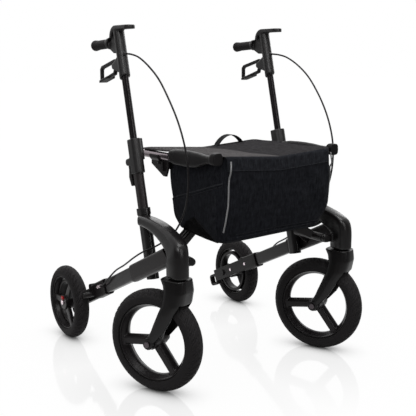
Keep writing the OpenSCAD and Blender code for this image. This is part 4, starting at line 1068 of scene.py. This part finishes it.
def lid_seam(name, where, start, run, out):
    """Row of stitches on the lid, at points where(share) of a run of shares."""
    shares = [start + run * i / SEAM_SPANS for i in range(SEAM_SPANS + 1)]
    path = [where(share) + out * SEAM_LIFT for share in shares]
    on_bag(stitches(name, path, out))


def make_lid():
    """Sling seat with the flap over the bag's front, and its seams."""
    lid = cloth_grid("seat_lid", LID_GRID, lambda a, b: lid_point(1 - a, b))
    thick = lid.vertex_groups.new(name="thick")
    for vertex in lid.data.vertices:
        thick.add([vertex.index], 1.0 - FLAP_THIN * smoothstep(*FLAP_THIN_Y, vertex.co.y), "REPLACE")
    shell = lid.modifiers.new("wall", "SOLIDIFY")
    shell.thickness, shell.offset, shell.vertex_group = LID_THICK, -1.0, "thick"
    apply_all(lid)
    scale_chart(lid, LID_CHART, LID_RUN)
    face_outwards(lid)
    paint(lid, FINISHES["sling_fabric"])
    # The right half takes a copy of the sling cloth painted darker as shade, and the flap at the front a
    # copy of the bag's cloth painted lighter as light from above
    for name in ("sling_fabric_turned", "bag_fabric_top"):
        lid.data.materials.append(FINISHES[name])
    for face in lid.data.polygons:
        face.material_index = 2 if face.center.y < FLAP_PAINTED_LIGHT_Y else 1 if face.center.x > 0 else 0
    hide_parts("seat_sling")
    on_bag(lid)
    for name, a in SIDE_SEAMS.items():
        lid_seam(name, lambda b: lid_point(a, b), *SIDE_SEAM_RUN, UP)
    for name, (b, out) in CROSS_SEAMS.items():
        lid_seam(name, lambda a: lid_point(a, b), *CROSS_SEAM_RUN, out)


def strap_point(a, t):
    """Point of the pull strap: a across the webbing, t from foot to foot."""
    x = STRAP_FEET[0] - STRAP_ENDS + (STRAP_FEET[1] - STRAP_FEET[0] + 2 * STRAP_ENDS) * t
    y = STRAP_Y - STRAP_WIDE * a + STRAP_BOW * math.sin(math.pi * t)
    arch = max(0.0, 1 - ((t - 0.5) / STRAP_ARCH) ** 2)
    return Vector((x, y, lid_drop(x) + STRAP_HIGH + STRAP_RISE * arch ** STRAP_POWER))


def make_strap():
    """Webbing loop at the rear of the lid, sewn down at both feet."""
    strap = cloth_grid("pull_loop", STRAP_GRID, strap_point, STRAP_THICK)
    scale_chart(strap, STRAP_WIDE, STRAP_LONG)
    face_outwards(strap)
    paint(strap, FINISHES["strap_webbing"])
    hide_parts("pull_strap")
    on_bag(strap)


# Studio

# Floor: how far it shows in reflections, its contact shadows, and its polish about the wheels
STAGE_SIZE, STAGE_SEEN, STAGE_FADED = 60.0, (0.6, 1.5), 0.9
CONTACT_REACH, CONTACT_FULL, STAGE_GLOW = 0.09, 0.94, 0.94
STAGE_MATT, STAGE_MATT_SEEN = (0.5, 0.5, 0.5), (0.135, 0.135, 0.135)
POLISH, POLISH_REACH, POLISH_ROUGHNESS = 0.13, 0.55, 0.07
# World: the side that is bright in reflections, how it falls off, and the light on matt surfaces
BRIGHT_SIDE, BRIGHT_FALL, DARK_SIDE, SOFT_LIGHT = (0.50, 0.72, 0.48), (-0.30, 0.80), 0.05, 0.48
LAMP_AIM = Vector((0.0, -0.1, 0.4))
# Name, place, size and power of each lamp, and whether it lights matt surfaces
LAMPS = (
    ("softbox_top", (0.2, -0.75, 3.0), (2.0, 1.4), 48.0, True),
    ("softbox_left", (-2.5, -0.4, 2.1), (0.9, 1.6), 9.0, True),
    ("key_right", (2.7, 0.9, 1.7), (0.8, 1.4), 14.0, True),
    ("strip_front", (0.3, -2.8, 1.5), (0.4, 1.6), 14.0, False),
    ("softbox_camera", (-1.7, -2.4, 2.6), (1.7, 1.2), 45.0, False),
    ("strip_back", (0.6, 2.4, 1.5), (2.4, 0.9), 8.0, False),
)


def floor_finish():
    """White floor with contact shadows and a faint mirror image; in reflections it ends near the object."""
    finish = Finish("studio_floor")
    rays = ("Is Camera Ray", "Is Glossy Ray", "Is Transmission Ray")
    seen, glossy, passed = (finish.add("LightPath", out=ray) for ray in rays)
    near = 1.0 - finish.length(finish.place()).step(*STAGE_SEEN) * STAGE_FADED
    level = seen + (glossy + passed) * near
    contact = finish.add("AmbientOcclusion", {"samples": 12}, {"Distance": CONTACT_REACH}, out="AO")
    strength = level * contact.step(0.0, CONTACT_FULL) * STAGE_GLOW
    glow = finish.add("Emission", {}, {"Color": WHITE, "Strength": strength})
    matt = finish.add("BsdfDiffuse", {}, {"Color": finish.shade(level, STAGE_MATT, STAGE_MATT_SEEN)})
    lit = finish.add("AddShader", {}, {0: glow, 1: matt})
    gloss = finish.add("BsdfGlossy", {}, {"Color": WHITE, "Roughness": POLISH_ROUGHNESS})
    gaps = []
    for foot in (wheel_place(end, side).to_translation() for end in TYRES for side in SIDES):
        ends = {0: finish.place(), 1: (foot.x, foot.y, 0.0)}
        gaps.append(finish.add("VectorMath", {"operation": "DISTANCE"}, ends, out="Value"))
    nearest = gaps[0].least(gaps[1]).least(gaps[2].least(gaps[3]))
    fade = POLISH - nearest.step(0.0, POLISH_REACH) * POLISH
    polish = finish.add("MixShader", {}, {0: fade, 1: lit, 2: gloss})
    finish.put(finish.tree.nodes["Material Output"].inputs["Surface"], polish)
    return finish.material


def make_world():
    """White behind the object, an even light on matt surfaces, and one bright side in reflections."""
    world = bpy.data.worlds.new("studio")
    bpy.context.scene.world = world
    world.use_nodes = True
    sky = Shading(world.node_tree)
    sky.tree.nodes.clear()
    output = sky.tree.nodes.new("ShaderNodeOutputWorld")
    ways = {0: sky.add("TexCoord", out="Generated"), 1: BRIGHT_SIDE}
    towards = sky.add("VectorMath", {"operation": "DOT_PRODUCT"}, ways, out="Value")
    sweep = towards.step(*BRIGHT_FALL, DARK_SIDE)
    soft, studio, white = (
        sky.add("Background", {}, {"Color": WHITE, "Strength": strength})
        for strength in (SOFT_LIGHT, sweep, 1.0)
    )
    mirror = sky.add("MixShader", {}, {0: sky.add("LightPath", out="Is Glossy Ray"), 1: soft, 2: studio})
    seen = sky.add("MixShader", {}, {0: sky.add("LightPath", out="Is Camera Ray"), 1: mirror, 2: white})
    sky.put(output.inputs["Surface"], seen)


def lamp_misses(name, pieces):
    """Collection of pieces that a lamp leaves unlit."""
    missed = bpy.data.collections.new(name)
    for piece in pieces:
        missed.objects.link(piece)
    for row in missed.collection_objects:
        row.light_linking.link_state = "EXCLUDE"
    return missed


def make_studio():
    """Floor, world and lamps."""
    bpy.context.scene.view_settings.view_transform = "Standard"
    make_world()
    bpy.ops.object.select_all(action="DESELECT")
    bpy.ops.mesh.primitive_plane_add(size=STAGE_SIZE)
    floor = bpy.context.object
    floor.name = "floor"
    paint(floor, floor_finish())
    handle_tubes = [frame["nodes"][f"handle_tube_{side}"] for side in SIDES]
    floorless = lamp_misses("lamps_miss", [floor])
    tubeless = lamp_misses("camera_lamp_misses", [floor, *handle_tubes])
    for name, place, size, power, lights_matt in LAMPS:
        bpy.ops.object.light_add(type="AREA", location=place)
        lamp = bpy.context.object
        lamp.name = name
        lamp.data.shape = "RECTANGLE"
        lamp.data.size, lamp.data.size_y = size
        lamp.data.energy = power
        lamp.light_linking.receiver_collection = tubeless if name == "softbox_camera" else floorless
        lamp.visible_diffuse = lights_matt
        lamp.rotation_euler = (LAMP_AIM - Vector(place)).to_track_quat("-Z", "Y").to_euler()


# Width of the rounded edges of each piece
ROUNDED = {
    "leg_sleeve": 0.0012, "lower_upright": 0.0008, "hand_grip": 0.001, "brace_arm": 0.0007,
    "front_axle": 0.0008, "brake_arm": 0.0008, "release_tab": 0.0006, "hinge_pin": 0.0008,
    "upper_upright": 0.0004, "leg_tube": 0.0005, "cable_barrel": 0.0004, "rear_axle": 0.0006,
}
# Grain, smoothing rounds and share of kept faces of each moulding
CAST = {
    "swan_neck": (0.0016, 34, 1), "fork": (0.0014, 10, 0.22), "handle_head": (0.0011, 22, 1),
    "brake_lever": (0.0009, 7, 0.22), "front_rim": (0.0017, 10, 1), "rear_rim": (0.0013, 5, 0.22),
    "rear_bracket": (0.0011, 3, 0.22), "height_clamp": (0.001, 22, 1), "clamp_lever": (0.0009, 6, 0.22),
    "rail_grip": (0.0014, 5, 0.22),
}


def main():
    aim_camera()
    clothe_frame()
    for side in SIDES:
        brake_cable(side)
        for end in TYRES:
            tread(end, side)
        for name, edge in ROUNDED.items():
            finished(f"{name}_{side}", edge)
        blacken_nut(f"rear_axle_{side}_finished")
        for name, (grain, rounds, share) in CAST.items():
            cast(f"{name}_{side}", grain, rounds, share, rounded_head if name == "swan_neck" else None)
    make_bag()
    trim_bag()
    make_lid()
    make_strap()
    make_studio()


main()
